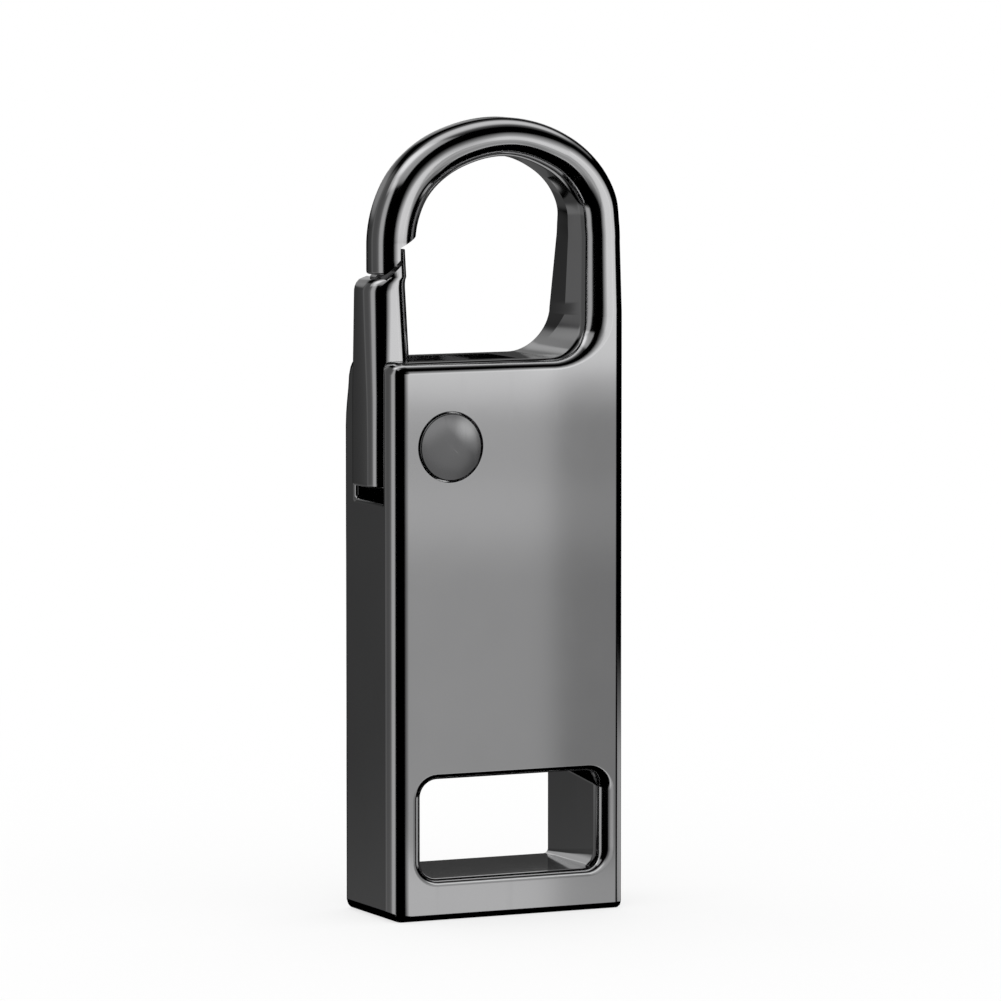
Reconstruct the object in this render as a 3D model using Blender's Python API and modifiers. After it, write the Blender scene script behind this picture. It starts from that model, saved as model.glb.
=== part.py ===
# USB flash drive in a die-cast key clip: a hook with a spring gate on top,
# a strap window below, and a plug that swings out of the right side.
# Metres, X to the right, Y to the back, Z up, standing on Z = 0.
from math import atan2, cos, pi, radians, sin, sqrt, tan

import bmesh
import bpy
from mathutils import Matrix, Vector

MM = 0.001

# Overall body
BODY_WIDTH = 19.0 * MM
BODY_DEPTH = 9.2 * MM
EDGE_RADIUS = 0.95 * MM
FOOT_RADIUS = 0.35 * MM
RIM_RADIUS = 0.6 * MM
FILLET_STEPS = 3
SHARP_ANGLE = radians(35)

# Fits
GAP = 0.3 * MM
FIT = 0.15 * MM
SKIN = 0.02 * MM

# Hook over the loop
ARCH_RISE = 8.5 * MM
POST_WIDTH = 2.5 * MM
POST_STRAIGHT = 1.8 * MM
POST_TAPER = 0.2
SHOULDER_BULGE = 0.15 * MM
LOOP_FILLET = 2.9 * MM
BAR_WIDTH = 3.7 * MM
BAR_DEPTH = 3.85 * MM
BAR_ROUND = 1.75 * MM
SHOULDER_WIDTH = 2.75 * MM
SHOULDER_BACK = 1.4 * MM
RISE_WIDTH = 3.05 * MM
RISE_FRONT = 0.05 * MM
RISE_BACK = 2.3 * MM
CROWN_WIDTH = 3.3 * MM
CROWN_FRONT = 0.75 * MM
CROWN_BACK = 2.7 * MM
BEND_WIDTH = 3.45 * MM
BEND_FRONT = 0.45 * MM
BEND_BACK = 0.65 * MM
ROUND_START = radians(25)
ROUND_END = radians(115)
ARCH_STEPS = 22
CORNER_STEPS = 4
NOSE_DROP = 2.2 * MM
NOSE_FLAT = 0.7 * MM
NOSE_RISE = 1.1 * MM
NOSE_CUT = 1.75 * MM
STEP_UP = 2.0 * MM
STEP_RISE = 1.0 * MM

# Strap window
WINDOW_LEFT = 2.15 * MM
WINDOW_RIGHT = 2.1 * MM
WINDOW_FOOT = 3.1 * MM
WINDOW_HEIGHT = 7.4 * MM
WINDOW_CORNER = 1.0 * MM

# Spring gate and its rivet
GATE_PROUD = 0.5 * MM
GATE_WIDTH = 3.1 * MM
GATE_DEPTH = 4.3 * MM
GATE_OFFSET = -0.25 * MM
HEEL_DROP = 3.08 * MM
GATE_CORNER = 1.1 * MM
GATE_EDGE = 0.5 * MM
GATE_TAPER = 0.04
GATE_LEAN = 0.45 * MM
FORK_DROP = 2.7 * MM
HUB_RADIUS = 2.4 * MM
HUB_CLEAR = 0.563 * MM
FORK_WIDTH = 2.9 * MM
RIVET_X = 4.67 * MM
RIVET_DROP = 6.25 * MM
RIVET_RADIUS = 1.2 * MM
HEAD_RADIUS = 2.5 * MM
CAP_RADIUS = 1.6 * MM
HEAD_SINK = 0.4 * MM
HEAD_DOME = 0.4 * MM
HEAD_EDGE = 0.1 * MM
HEEL_GAP = 1.05 * MM
SLOT_END = 10.9 * MM
SLOT_DROP = 0.6 * MM
WALL_THIN = 0.6 * MM

# Gate spring
WIRE = 0.35 * MM
COIL_RADIUS = 1.5 * MM
COIL_PITCH = 0.8 * MM
COIL_TURNS = 2
COIL_POINTS = 12
LEG_LENGTH = 3.0 * MM

# Plug, its arm and its bay
PLUG_WIDTH = 12.0 * MM
PLUG_DEPTH = 4.5 * MM
PLUG_LENGTH = 12.0 * MM
PLUG_ROUND = 0.5 * MM
SHELL_WALL = 0.35 * MM
NECK_INSET = 0.85 * MM
NECK_LENGTH = 1.9 * MM
ARM_DEPTH = 4.7 * MM
ARM_LENGTH = 5.9 * MM
PLUG_FLUSH = 0.1 * MM
PIN_RADIUS = 1.2 * MM
BUSH_WALL = 0.65 * MM
PIN_SEAT = 1.0 * MM
WASHER_WALL = 1.5 * MM
WASHER_THICK = 0.3 * MM
BAY_LIP = 1.2 * MM
BAY_SILL = 1.65 * MM
CORNER_SWING = 1.3 * MM

# Back cover and its screws
COVER_THICK = 1.4 * MM
COVER_LEDGE = 2.1 * MM
COVER_FOOT = 0.5 * MM
COVER_FLANK = 3.2 * MM
COVER_SHOULDER = 1.5 * MM
COVER_CORNER = 0.6 * MM
SCREW_RADIUS = 0.45 * MM
SCREW_HEAD = 0.8 * MM
SCREW_HEAD_THICK = 0.5 * MM
SCREW_LENGTH = 2.6 * MM
SCREW_EDGE = 1.25 * MM
NOTCH_RADIUS = 3.4 * MM
NOTCH_HEIGHT = 18.0 * MM

# Board and its components
BOARD_THICK = 0.6 * MM
BOARD_FACE = 0.05 * MM
BOARD_LENGTH = 10.5 * MM
CARRIER_THICK = 0.95 * MM
CARRIER_RAIL = 0.8 * MM
CONTACT_THICK = 0.1 * MM
CONTACT_WIDTH = 1.0 * MM
CONTACT_LENGTH = 6.4 * MM
CONTACT_PITCH = 2.5 * MM
CHIP_THICK = 0.8 * MM
FLASH_MARGIN = 0.5 * MM
FLASH_LENGTH = 4.2 * MM
CONTROLLER_LENGTH = 3.6 * MM
CRYSTAL_SIZE = (1.6 * MM, 2.0 * MM)
CHIP_ROW = 0.4 * MM
SMALL_SIZE = (0.5 * MM, 1.0 * MM)
SMALL_MARGIN = 0.2 * MM
SMALL_THICK = 0.45 * MM

# Places that follow from the sizes above
BODY_LEFT = (GATE_PROUD - BODY_WIDTH) / 2
BODY_RIGHT = BODY_LEFT + BODY_WIDTH
BODY_MIDDLE = (BODY_LEFT + BODY_RIGHT) / 2
FRONT = -BODY_DEPTH / 2
BACK = BODY_DEPTH / 2
GATE_OUTSIDE = BODY_LEFT - GATE_PROUD
GATE_INSIDE = GATE_OUTSIDE + GATE_WIDTH
RIVET_CENTRE = BODY_LEFT + RIVET_X
PIVOT_CENTRE = BODY_RIGHT - PLUG_WIDTH / 2 - PLUG_FLUSH
PLUG_TIP = ARM_LENGTH + FIT + PLUG_LENGTH
BAY_RADIUS = PLUG_WIDTH / 2 + GAP
BAY_LEFT = PIVOT_CENTRE - BAY_RADIUS
BAY_RIGHT = BODY_RIGHT - BAY_LIP
BAY_FLOOR = WINDOW_FOOT + WINDOW_HEIGHT + BAY_SILL
PIVOT_HEIGHT = BAY_FLOOR + CORNER_SWING + PLUG_TIP
BAY_TOP = PIVOT_HEIGHT + BAY_RADIUS
BAY_HALF = ARM_DEPTH / 2 + GAP
COVER_SEAT = BACK - COVER_THICK
COVER_TOP = BAY_TOP + COVER_LEDGE

# The rivet stands clear of the arm's swing, and the loop floor clear of the cover
AXES_APART = HUB_RADIUS + PLUG_WIDTH / 2 + HUB_CLEAR
AXES_ACROSS = PIVOT_CENTRE - RIVET_CENTRE
LEAST_RIVET_HEIGHT = COVER_TOP + 2 * RIM_RADIUS - RIVET_DROP
CLEAR_RIVET_HEIGHT = PIVOT_HEIGHT + sqrt(max(AXES_APART ** 2 - AXES_ACROSS ** 2, 0))
RIVET_HEIGHT = max(CLEAR_RIVET_HEIGHT, LEAST_RIVET_HEIGHT)
GATE_HEEL = RIVET_HEIGHT - HEEL_DROP
SLOT_FLOOR = GATE_HEEL - HEEL_GAP
FLOOR_HEIGHT = RIVET_HEIGHT + RIVET_DROP
FORK_HEIGHT = FLOOR_HEIGHT - FORK_DROP
POST_HEIGHT = FLOOR_HEIGHT + LOOP_FILLET + POST_STRAIGHT
ARCH_HEIGHT = FLOOR_HEIGHT + ARCH_RISE
NOSE_HEIGHT = ARCH_HEIGHT - NOSE_DROP
STEP_HEIGHT = NOSE_HEIGHT + STEP_UP
TAPER_HEIGHT = FLOOR_HEIGHT - 2 * RIM_RADIUS
POST_BACK = BACK - POST_TAPER * (ARCH_HEIGHT - TAPER_HEIGHT)
NOSE_FRONT = GATE_OFFSET - BAR_DEPTH / 2
NOSE_BACK = GATE_OFFSET + BAR_DEPTH / 2

# Stations along the arch: angle, width, front and back of the bar
HOOK_STATIONS = (
    (0, POST_WIDTH, FRONT, POST_BACK),
    (radians(30), SHOULDER_WIDTH, FRONT, POST_BACK - SHOULDER_BACK),
    (radians(60), RISE_WIDTH, FRONT + RISE_FRONT, POST_BACK - RISE_BACK),
    (radians(90), CROWN_WIDTH, FRONT + CROWN_FRONT, POST_BACK - CROWN_BACK),
    (radians(135), BEND_WIDTH, NOSE_FRONT - BEND_FRONT, NOSE_BACK - BEND_BACK),
    (pi, BAR_WIDTH, NOSE_FRONT, NOSE_BACK),
)


def rounded(corners, steps):
    """Points of a closed outline whose corners (x, z, radius) are arcs."""
    points = []
    count = len(corners)
    for index, (x, z, radius) in enumerate(corners):
        here = Vector((x, z))
        if radius == 0:
            points.append(here)
            continue
        before = Vector(corners[index - 1][:2]) - here
        after = Vector(corners[(index + 1) % count][:2]) - here
        half = before.angle(after) / 2
        bisector = (before.normalized() + after.normalized()).normalized()
        centre = here + bisector * radius / sin(half)
        first = here + before.normalized() * radius / tan(half) - centre
        turn = (pi - 2 * half) * (1 if before.cross(after) < 0 else -1)
        for step in range(steps + 1):
            points.append(centre + Matrix.Rotation(turn * step / steps, 2) @ first)
    return points


def arc(centre_x, centre_z, radius, start, end, steps):
    points = []
    for step in range(steps + 1):
        angle = start + (end - start) * step / steps
        points.append(Vector((centre_x + radius * cos(angle), centre_z + radius * sin(angle))))
    return points


def offset_path(points, distance):
    """An open path moved sideways to its right by the distance, with mitred corners."""
    moved = []
    for index, point in enumerate(points):
        normals = []
        for start, end in zip(points[max(index - 1, 0):], points[max(index - 1, 0) + 1:index + 2]):
            run = (end - start).normalized()
            normals.append(Vector((run.y, -run.x)))
        mitre = sum(normals, Vector((0, 0))).normalized()
        moved.append(point + mitre * distance / mitre.dot(normals[0]))
    return moved


def start_scene():
    for old in list(bpy.data.objects):
        bpy.data.objects.remove(old, do_unlink=True)
    for name in ("usb_flash_drive", "cutters"):
        group = bpy.data.collections.new(name)
        bpy.context.scene.collection.children.link(group)
    return bpy.data.collections["usb_flash_drive"], bpy.data.collections["cutters"]


PARTS, CUTTERS = start_scene()


def finish_material(name, colour, roughness, metallic):
    material = bpy.data.materials.new(name)
    material.use_nodes = True
    shader = material.node_tree.nodes["Principled BSDF"]
    shader.inputs["Base Color"].default_value = (*colour, 1)
    shader.inputs["Roughness"].default_value = roughness
    shader.inputs["Metallic"].default_value = metallic
    return material


PLATED = finish_material("black_nickel", (0.20, 0.20, 0.21), 0.15, 1.0)
STEEL = finish_material("bright_steel", (0.62, 0.62, 0.63), 0.25, 1.0)
SPRING_STEEL = finish_material("spring_steel", (0.45, 0.45, 0.46), 0.3, 1.0)
BRASS = finish_material("brass", (0.75, 0.58, 0.28), 0.3, 1.0)
GOLD = finish_material("gold_contact", (0.90, 0.68, 0.30), 0.25, 1.0)
DARK_PLASTIC = finish_material("dark_plastic", (0.03, 0.03, 0.035), 0.5, 0.0)
BOARD_GREEN = finish_material("board_laminate", (0.03, 0.16, 0.07), 0.4, 0.0)
CHIP_BLACK = finish_material("chip_epoxy", (0.02, 0.02, 0.02), 0.6, 0.0)
CERAMIC = finish_material("ceramic", (0.45, 0.36, 0.26), 0.5, 0.0)


def place(name, mesh, material=None, parent=None, location=(0, 0, 0)):
    """A part when it has a material, otherwise a cutter."""
    item = bpy.data.objects.new(name, mesh)
    item.location = location
    item.parent = parent
    if material:
        mesh.materials.append(material)
        mesh.shade_smooth()
        mesh.set_sharp_from_angle(angle=SHARP_ANGLE)
        PARTS.objects.link(item)
    else:
        item.hide_render = True
        item.display_type = "WIRE"
        CUTTERS.objects.link(item)
    return item


def change(item, tool, operation):
    modifier = item.modifiers.new(tool.name, "BOOLEAN")
    modifier.object = tool
    modifier.operation = operation
    modifier.solver = "EXACT"


def cut(item, *tools):
    for tool in tools:
        change(item, tool, "DIFFERENCE")


def box_mesh(name, low, high):
    centre = (Vector(low) + Vector(high)) / 2
    size = Vector(high) - Vector(low)
    mesh = bpy.data.meshes.new(name)
    work = bmesh.new()
    bmesh.ops.create_cube(work, size=1, matrix=Matrix.Translation(centre) @ Matrix.Diagonal((*size, 1)))
    work.to_mesh(mesh)
    work.free()
    return mesh


def rod_mesh(name, radius, front, back, places=((0, 0),), sides=24):
    """Round rods along Y, one at each place (x, z)."""
    mesh = bpy.data.meshes.new(name)
    work = bmesh.new()
    for x, z in places:
        pose = Matrix.Translation((x, (front + back) / 2, z)) @ Matrix.Rotation(pi / 2, 4, "X")
        bmesh.ops.create_cone(work, cap_ends=True, segments=sides, radius1=radius, radius2=radius,
                              depth=back - front, matrix=pose)
    work.to_mesh(mesh)
    work.free()
    return mesh


def outline_mesh(name, outline, front, back):
    """A flat outline in X and Z, filled and extruded along Y."""
    curve = bpy.data.curves.new(name, "CURVE")
    curve.dimensions = "2D"
    curve.fill_mode = "BOTH"
    curve.extrude = (back - front) / 2
    spline = curve.splines.new("POLY")
    spline.points.add(len(outline) - 1)
    spline.use_cyclic_u = True
    for point, (x, z) in zip(spline.points, outline):
        point.co = (x, z, 0, 1)
    holder = bpy.data.objects.new(name, curve)
    CUTTERS.objects.link(holder)
    mesh = bpy.data.meshes.new_from_object(holder.evaluated_get(bpy.context.evaluated_depsgraph_get()))
    mesh.transform(Matrix.Translation((0, (front + back) / 2, 0)) @ Matrix.Rotation(pi / 2, 4, "X"))
    bpy.data.objects.remove(holder)
    tidy(mesh)
    return mesh


def tidy(mesh):
    """Weld the caps to the sides, make flat areas single faces and turn all faces out."""
    work = bmesh.new()
    work.from_mesh(mesh)
    bmesh.ops.remove_doubles(work, verts=work.verts, dist=SKIN / 20)
    bmesh.ops.dissolve_limit(work, angle_limit=radians(0.1), verts=work.verts, edges=work.edges)
    bmesh.ops.recalc_face_normals(work, faces=work.faces)
    work.to_mesh(mesh)
    work.free()


def loft_mesh(name, rings):
    """A closed skin over rings of equal point counts, with flat ends."""
    mesh = bpy.data.meshes.new(name)
    work = bmesh.new()
    loops = [[work.verts.new(point) for point in ring] for ring in rings]
    for lower, upper in zip(loops, loops[1:]):
        for index in range(len(lower)):
            after = (index + 1) % len(lower)
            work.faces.new((lower[index], lower[after], upper[after], upper[index]))
    work.faces.new(loops[0])
    work.faces.new(loops[-1])
    bmesh.ops.recalc_face_normals(work, faces=work.faces)
    work.to_mesh(mesh)
    work.free()
    return mesh


def turned(name, profile, material, location, turns_to_back=False, sides=32, parent=None):
    """A profile of (radius, height) points, top to bottom, turned about an axis along Y."""
    mesh = bpy.data.meshes.new(name)
    edges = [(index, index + 1) for index in range(len(profile) - 1)]
    mesh.from_pydata([(radius, 0, height) for radius, height in profile], edges, [])
    item = place(name, mesh, material, parent, location)
    item.rotation_euler = (-pi / 2 if turns_to_back else pi / 2, 0, 0)
    screw = item.modifiers.new("turn", "SCREW")
    screw.steps = sides
    screw.render_steps = sides
    screw.use_merge_vertices = True
    screw.merge_threshold = SKIN / 20
    return item


def bevel_edges(item, radii):
    """Round each edge by the radius that radii(edge middle, edge direction) gives."""
    mesh = item.data
    weights = mesh.attributes.new("bevel_weight_edge", "FLOAT", "EDGE")
    for edge in mesh.edges:
        start, end = (mesh.vertices[index].co for index in edge.vertices)
        weights.data[edge.index].value = radii((start + end) / 2, end - start) / EDGE_RADIUS
    rounding = item.modifiers.new("rounding", "BEVEL")
    rounding.width = EDGE_RADIUS
    rounding.limit_method = "WEIGHT"
    rounding.segments = FILLET_STEPS
    rounding.use_clamp_overlap = False


# Body casting: block, post, hook, window, slot and bay
def body_outline():
    inner = BODY_RIGHT - POST_WIDTH
    corners = [
        (BODY_LEFT, 0, 0),
        (BODY_RIGHT, 0, 0),
        (BODY_RIGHT, POST_HEIGHT, 0),
        (inner, POST_HEIGHT, 0),
        (inner, FLOOR_HEIGHT, LOOP_FILLET),
        (BODY_LEFT, FLOOR_HEIGHT, 0),
    ]
    return rounded(corners, 6)


def taper(mesh, height, front_slope, back_slope):
    """Lean the front and the back towards each other above a height."""
    work = bmesh.new()
    work.from_mesh(mesh)
    everything = work.verts[:] + work.edges[:] + work.faces[:]
    bmesh.ops.bisect_plane(work, geom=everything, plane_co=(0, 0, height), plane_no=(0, 0, 1), dist=SKIN)
    for vert in work.verts:
        rise = vert.co.z - height
        if rise < SKIN:
            continue
        if vert.co.y > GATE_OFFSET:
            vert.co.y -= back_slope * rise
        else:
            vert.co.y += front_slope * rise
    work.to_mesh(mesh)
    work.free()


def body_edge_radius(middle, run):
    """Radius of each edge of the block and post, by where the edge lies."""
    lean = POST_TAPER * max(middle.z - TAPER_HEIGHT, 0)
    on_face = abs(middle.y - FRONT) < SKIN or abs(middle.y - BACK + lean) < SKIN
    if not on_face:
        at_foot = middle.z < SKIN
        at_rim = abs(middle.z - FLOOR_HEIGHT) < SKIN and middle.x < BODY_MIDDLE
        return FOOT_RADIUS if at_foot else RIM_RADIUS if at_rim else 0
    if middle.z < SKIN:
        return FOOT_RADIUS
    crease = abs(middle.z - TAPER_HEIGHT) < SKIN and abs(run.z) < SKIN
    if middle.z > POST_HEIGHT - SKIN or crease:
        return 0
    at_side = min(abs(middle.x - BODY_LEFT), abs(middle.x - BODY_RIGHT)) < SKIN
    return EDGE_RADIUS if at_side else RIM_RADIUS


def blend(value, start, end):
    """Smooth step from 0 to 1."""
    share = min(max((value - start) / (end - start), 0), 1)
    return share * share * (3 - 2 * share)


def station(angle):
    """Width, front and back of the hook at an angle, on a smooth curve through the stations."""
    last = len(HOOK_STATIONS) - 1
    index = max(row for row in range(last) if HOOK_STATIONS[row][0] <= angle)
    low, high = HOOK_STATIONS[index], HOOK_STATIONS[index + 1]
    before, after = HOOK_STATIONS[max(index - 1, 0)], HOOK_STATIONS[min(index + 2, last)]
    span = high[0] - low[0]
    share = (angle - low[0]) / span
    values = []
    for column in (1, 2, 3):
        slope_low = (high[column] - before[column]) / (high[0] - before[0]) * span
        slope_high = (after[column] - low[column]) / (after[0] - low[0]) * span
        rise = high[column] - low[column]
        curve = slope_low + share * (3 * rise - 2 * slope_low - slope_high)
        values.append(low[column] + share * (curve + share ** 2 * (slope_low + slope_high - 2 * rise)))
    return values


def bar_section(width, front, back, outer_round, inner_round):
    """Rounded rectangle as (outward, along Y) points."""
    corners = (
        (width / 2 - outer_round, back - outer_round, outer_round, 0),
        (inner_round - width / 2, back - inner_round, inner_round, pi / 2),
        (inner_round - width / 2, front + inner_round, inner_round, pi),
        (width / 2 - outer_round, front + outer_round, outer_round, 3 * pi / 2),
    )
    points = []
    for across, along, radius, start in corners:
        for step in range(CORNER_STEPS + 1):
            angle = start + pi / 2 * step / CORNER_STEPS
            points.append((across + radius * cos(angle), along + radius * sin(angle)))
    return points


def hook_ring(angle, rise):
    """Section of the hook at an angle round the arch, moved up by rise on the straights."""
    width, front, back = station(angle)
    front = max(front, FRONT)
    bulge = SHOULDER_BULGE * sin(2 * angle) ** 2 if angle < pi / 2 else 0
    if angle == 0:
        back -= POST_TAPER * rise
    softness = blend(angle, ROUND_START, ROUND_END)
    limit = min(width, back - front) / 2 - SKIN
    outer_round = min(EDGE_RADIUS + (BAR_ROUND - EDGE_RADIUS) * softness, limit)
    inner_round = min(RIM_RADIUS + (BAR_ROUND - RIM_RADIUS) * softness, limit)
    ring = []
    for outward, y in bar_section(width, front, back, outer_round, inner_round):
        reach = (BODY_WIDTH - width) / 2 + outward + bulge
        ring.append((BODY_MIDDLE + reach * cos(angle), y, ARCH_HEIGHT + reach * sin(angle) + rise))
    return ring


def shrunk(ring, amount):
    centre = sum((Vector(point) for point in ring), Vector()) / len(ring)
    return [Vector(point) + (centre - Vector(point)).normalized() * amount for point in ring]


def hook_mesh():
    rings = [shrunk(hook_ring(0, POST_HEIGHT - ARCH_HEIGHT - GAP), SKIN)]
    rings.append(hook_ring(0, POST_HEIGHT - ARCH_HEIGHT + GAP))
    for step in range(ARCH_STEPS + 1):
        rings.append(hook_ring(pi * step / ARCH_STEPS, 0))
    rings.append(hook_ring(pi, NOSE_HEIGHT - ARCH_HEIGHT))
    return loft_mesh("hook", rings)


def nose_path():
    """The nose's underside and the step that the gate's tongue fits in, from outside to inside."""
    outer = BODY_LEFT
    return [
        Vector((outer - BAR_WIDTH, NOSE_HEIGHT)),
        Vector((outer + NOSE_FLAT, NOSE_HEIGHT)),
        Vector((outer + NOSE_CUT, NOSE_HEIGHT + NOSE_RISE)),
        Vector((outer + NOSE_CUT, STEP_HEIGHT)),
        Vector((outer + NOSE_CUT + 2 * STEP_RISE, STEP_HEIGHT + STEP_RISE)),
    ]


def window_mesh():
    left = BODY_LEFT + WINDOW_LEFT
    right = BODY_RIGHT - WINDOW_RIGHT
    top = WINDOW_FOOT + WINDOW_HEIGHT
    stations = [(FRONT - GAP, RIM_RADIUS)]
    for step in range(FILLET_STEPS + 1):
        angle = pi / 2 * step / FILLET_STEPS
        stations.append((FRONT + RIM_RADIUS * (1 - cos(angle)), RIM_RADIUS * (1 - sin(angle))))
    stations += [(-y, flare) for y, flare in reversed(stations)]
    rings = []
    for y, flare in stations:
        corner = WINDOW_CORNER + flare
        loop = rounded([
            (left - flare, WINDOW_FOOT - flare, corner),
            (right + flare, WINDOW_FOOT - flare, corner),
            (right + flare, top + flare, corner),
            (left - flare, top + flare, corner),
        ], CORNER_STEPS)
        rings.append([(x, y, z) for x, z in loop])
    return loft_mesh("window", rings)


def slot_outline():
    """Room for the gate and its swing, open at the left side and at the loop floor."""
    outside = GATE_OUTSIDE - GAP
    above = FLOOR_HEIGHT + GAP
    end = BODY_LEFT + SLOT_END
    hub_side = RIVET_CENTRE + HUB_RADIUS + GAP
    return [
        Vector((outside, SLOT_FLOOR)),
        Vector((BAY_LEFT - WALL_THIN, SLOT_FLOOR)),
        Vector((hub_side, RIVET_HEIGHT + WALL_THIN)),
        Vector((end, FLOOR_HEIGHT - SLOT_DROP)),
        Vector((end, above)),
        Vector((outside, above)),
    ]


def bay_outline():
    right = BAY_RIGHT - FIT
    points = [Vector((BAY_LEFT, BAY_FLOOR)), Vector((right, BAY_FLOOR)), Vector((right, BAY_TOP))]
    return points + arc(PIVOT_CENTRE, PIVOT_HEIGHT, BAY_RADIUS, pi / 2, pi, 12)


def cover_outline(clearance):
    """The cover's edge, or its seat in the casting where the clearance is zero."""
    left = BAY_LEFT - COVER_FLANK + clearance
    right = BAY_RIGHT - clearance
    low = BAY_FLOOR - COVER_FOOT + clearance
    top = COVER_TOP - clearance
    beside_cap = RIVET_CENTRE + CAP_RADIUS + 2 * GAP + clearance
    below_cap = RIVET_HEIGHT - CAP_RADIUS - COVER_LEDGE - clearance
    above_cap = RIVET_HEIGHT + CAP_RADIUS - clearance
    return rounded([
        (left, low, COVER_CORNER),
        (right, low, COVER_CORNER),
        (right, top, COVER_CORNER),
        (beside_cap + COVER_SHOULDER, top, COVER_CORNER),
        (beside_cap, above_cap, COVER_CORNER),
        (beside_cap, below_cap + COVER_LEDGE, COVER_CORNER),
        (left, below_cap, COVER_CORNER),
    ], CORNER_STEPS)


def screw_places():
    left = BAY_LEFT - COVER_FLANK + SCREW_EDGE
    top = COVER_TOP - SCREW_EDGE
    return [
        (left, BAY_FLOOR + SCREW_EDGE),
        (left, RIVET_HEIGHT - CAP_RADIUS - 3 * COVER_LEDGE),
        (PIVOT_CENTRE - SCREW_EDGE, top),
        (BAY_RIGHT - SCREW_EDGE, top),
    ]


def build_body():
    mesh = outline_mesh("body_casting", body_outline(), FRONT, BACK)
    taper(mesh, TAPER_HEIGHT, 0, POST_TAPER)
    body = place("body_casting", mesh, PLATED)
    bevel_edges(body, body_edge_radius)
    change(body, place("hook", hook_mesh()), "UNION")
    nose = nose_path()
    below = NOSE_HEIGHT - BAR_WIDTH
    nose_cut = nose[1:] + [Vector((nose[-1].x, below)), Vector((nose[1].x, below))]
    slot_front = GATE_OFFSET - GATE_DEPTH / 2 - GAP
    slot_back = GATE_OFFSET + GATE_DEPTH / 2 + GAP
    rivet = [(RIVET_CENTRE, RIVET_HEIGHT)]
    pivot = [(PIVOT_CENTRE, PIVOT_HEIGHT)]
    notch = rod_mesh("thumb_notch", NOTCH_RADIUS, 0, 2 * BAY_LIP, sides=24)
    notch.transform(Matrix.Rotation(-pi / 2, 4, "Z"))
    cut(
        body,
        place("nose_cut", outline_mesh("nose_cut", nose_cut, -BAR_DEPTH, BAR_DEPTH)),
        place("window", window_mesh()),
        place("gate_slot", outline_mesh("gate_slot", slot_outline(), slot_front, slot_back)),
        place("rivet_bore", rod_mesh("rivet_bore", RIVET_RADIUS + FIT, FRONT - GAP, BACK + GAP, rivet)),
        place("head_seat", rod_mesh("head_seat", HEAD_RADIUS + FIT, FRONT - GAP, FRONT + HEAD_SINK, rivet, 40)),
        place("cap_seat", rod_mesh("cap_seat", CAP_RADIUS + FIT, BACK - HEAD_SINK, BACK + GAP, rivet, 40)),
        place("plug_bay", outline_mesh("plug_bay", bay_outline(), -BAY_HALF, COVER_SEAT + GAP)),
        place("side_opening", box_mesh("side_opening", (BAY_RIGHT - GAP, FIT - BAY_HALF, BAY_FLOOR + FIT),
                                       (BODY_RIGHT + GAP, BAY_HALF - FIT, BAY_TOP - FIT))),
        place("pin_seat", rod_mesh("pin_seat", PIN_RADIUS + FIT, -BAY_HALF - PIN_SEAT, 0, pivot)),
        place("screw_holes", rod_mesh("screw_holes", SCREW_RADIUS + FIT, COVER_SEAT - SCREW_LENGTH,
                                      COVER_SEAT + GAP, screw_places(), 12)),
        place("thumb_notch", notch, location=(BAY_RIGHT - GAP, BACK + NOTCH_RADIUS / 2, NOTCH_HEIGHT)),
        place("cover_seat", outline_mesh("cover_seat", cover_outline(0), COVER_SEAT, BACK + GAP)),
    )
    return body


def add_screw(name, x, back, z, length, parent=None):
    """A flat-headed screw with a hexagon socket, its head's top at back."""
    head = SCREW_HEAD_THICK - FIT / 2
    profile = [
        (0, 0),
        (SCREW_HEAD, 0),
        (SCREW_HEAD, -head),
        (SCREW_RADIUS, -head),
        (SCREW_RADIUS, -length),
        (0, -length),
    ]
    screw = turned(name, profile, STEEL, (x, back, z), True, 16, parent)
    socket = rod_mesh(name + "_socket", SCREW_HEAD / 2, back - head / 2, back + GAP, [(x, z)], 6)
    cut(screw, place(name + "_socket", socket, None, parent))


# Back cover, its screws and the plug's pin
def build_cover():
    cover = place("back_cover", outline_mesh("back_cover", cover_outline(FIT), COVER_SEAT + FIT, BACK), PLATED)
    pivot = [(PIVOT_CENTRE, PIVOT_HEIGHT)]
    cut(
        cover,
        place("cover_pin_hole", rod_mesh("cover_pin_hole", PIN_RADIUS + FIT, COVER_SEAT, BACK + GAP, pivot)),
        place("cover_screw_holes", rod_mesh("cover_screw_holes", SCREW_RADIUS + FIT, COVER_SEAT, BACK + GAP,
                                            screw_places(), 12)),
        place("cover_head_seats", rod_mesh("cover_head_seats", SCREW_HEAD + FIT,
                                           BACK - SCREW_HEAD_THICK - FIT, BACK + GAP, screw_places(), 20)),
    )
    for index, (x, z) in enumerate(screw_places()):
        add_screw(f"cover_screw_{index + 1}", x, BACK - FIT / 2, z, COVER_THICK + SCREW_LENGTH - GAP)
    pin_front = -BAY_HALF - PIN_SEAT + FIT
    place("plug_pivot_pin", rod_mesh("plug_pivot_pin", PIN_RADIUS, pin_front, BACK - FIT, pivot), STEEL)
    washer_front = ARM_DEPTH / 2 + FIT
    washer = place("friction_washer", rod_mesh("friction_washer", PIN_RADIUS + FIT + WASHER_WALL, washer_front,
                                               washer_front + WASHER_THICK, pivot), SPRING_STEEL)
    washer_hole = rod_mesh("washer_hole", PIN_RADIUS + FIT, 0, BACK, pivot)
    cut(washer, place("washer_hole", washer_hole))


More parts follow.
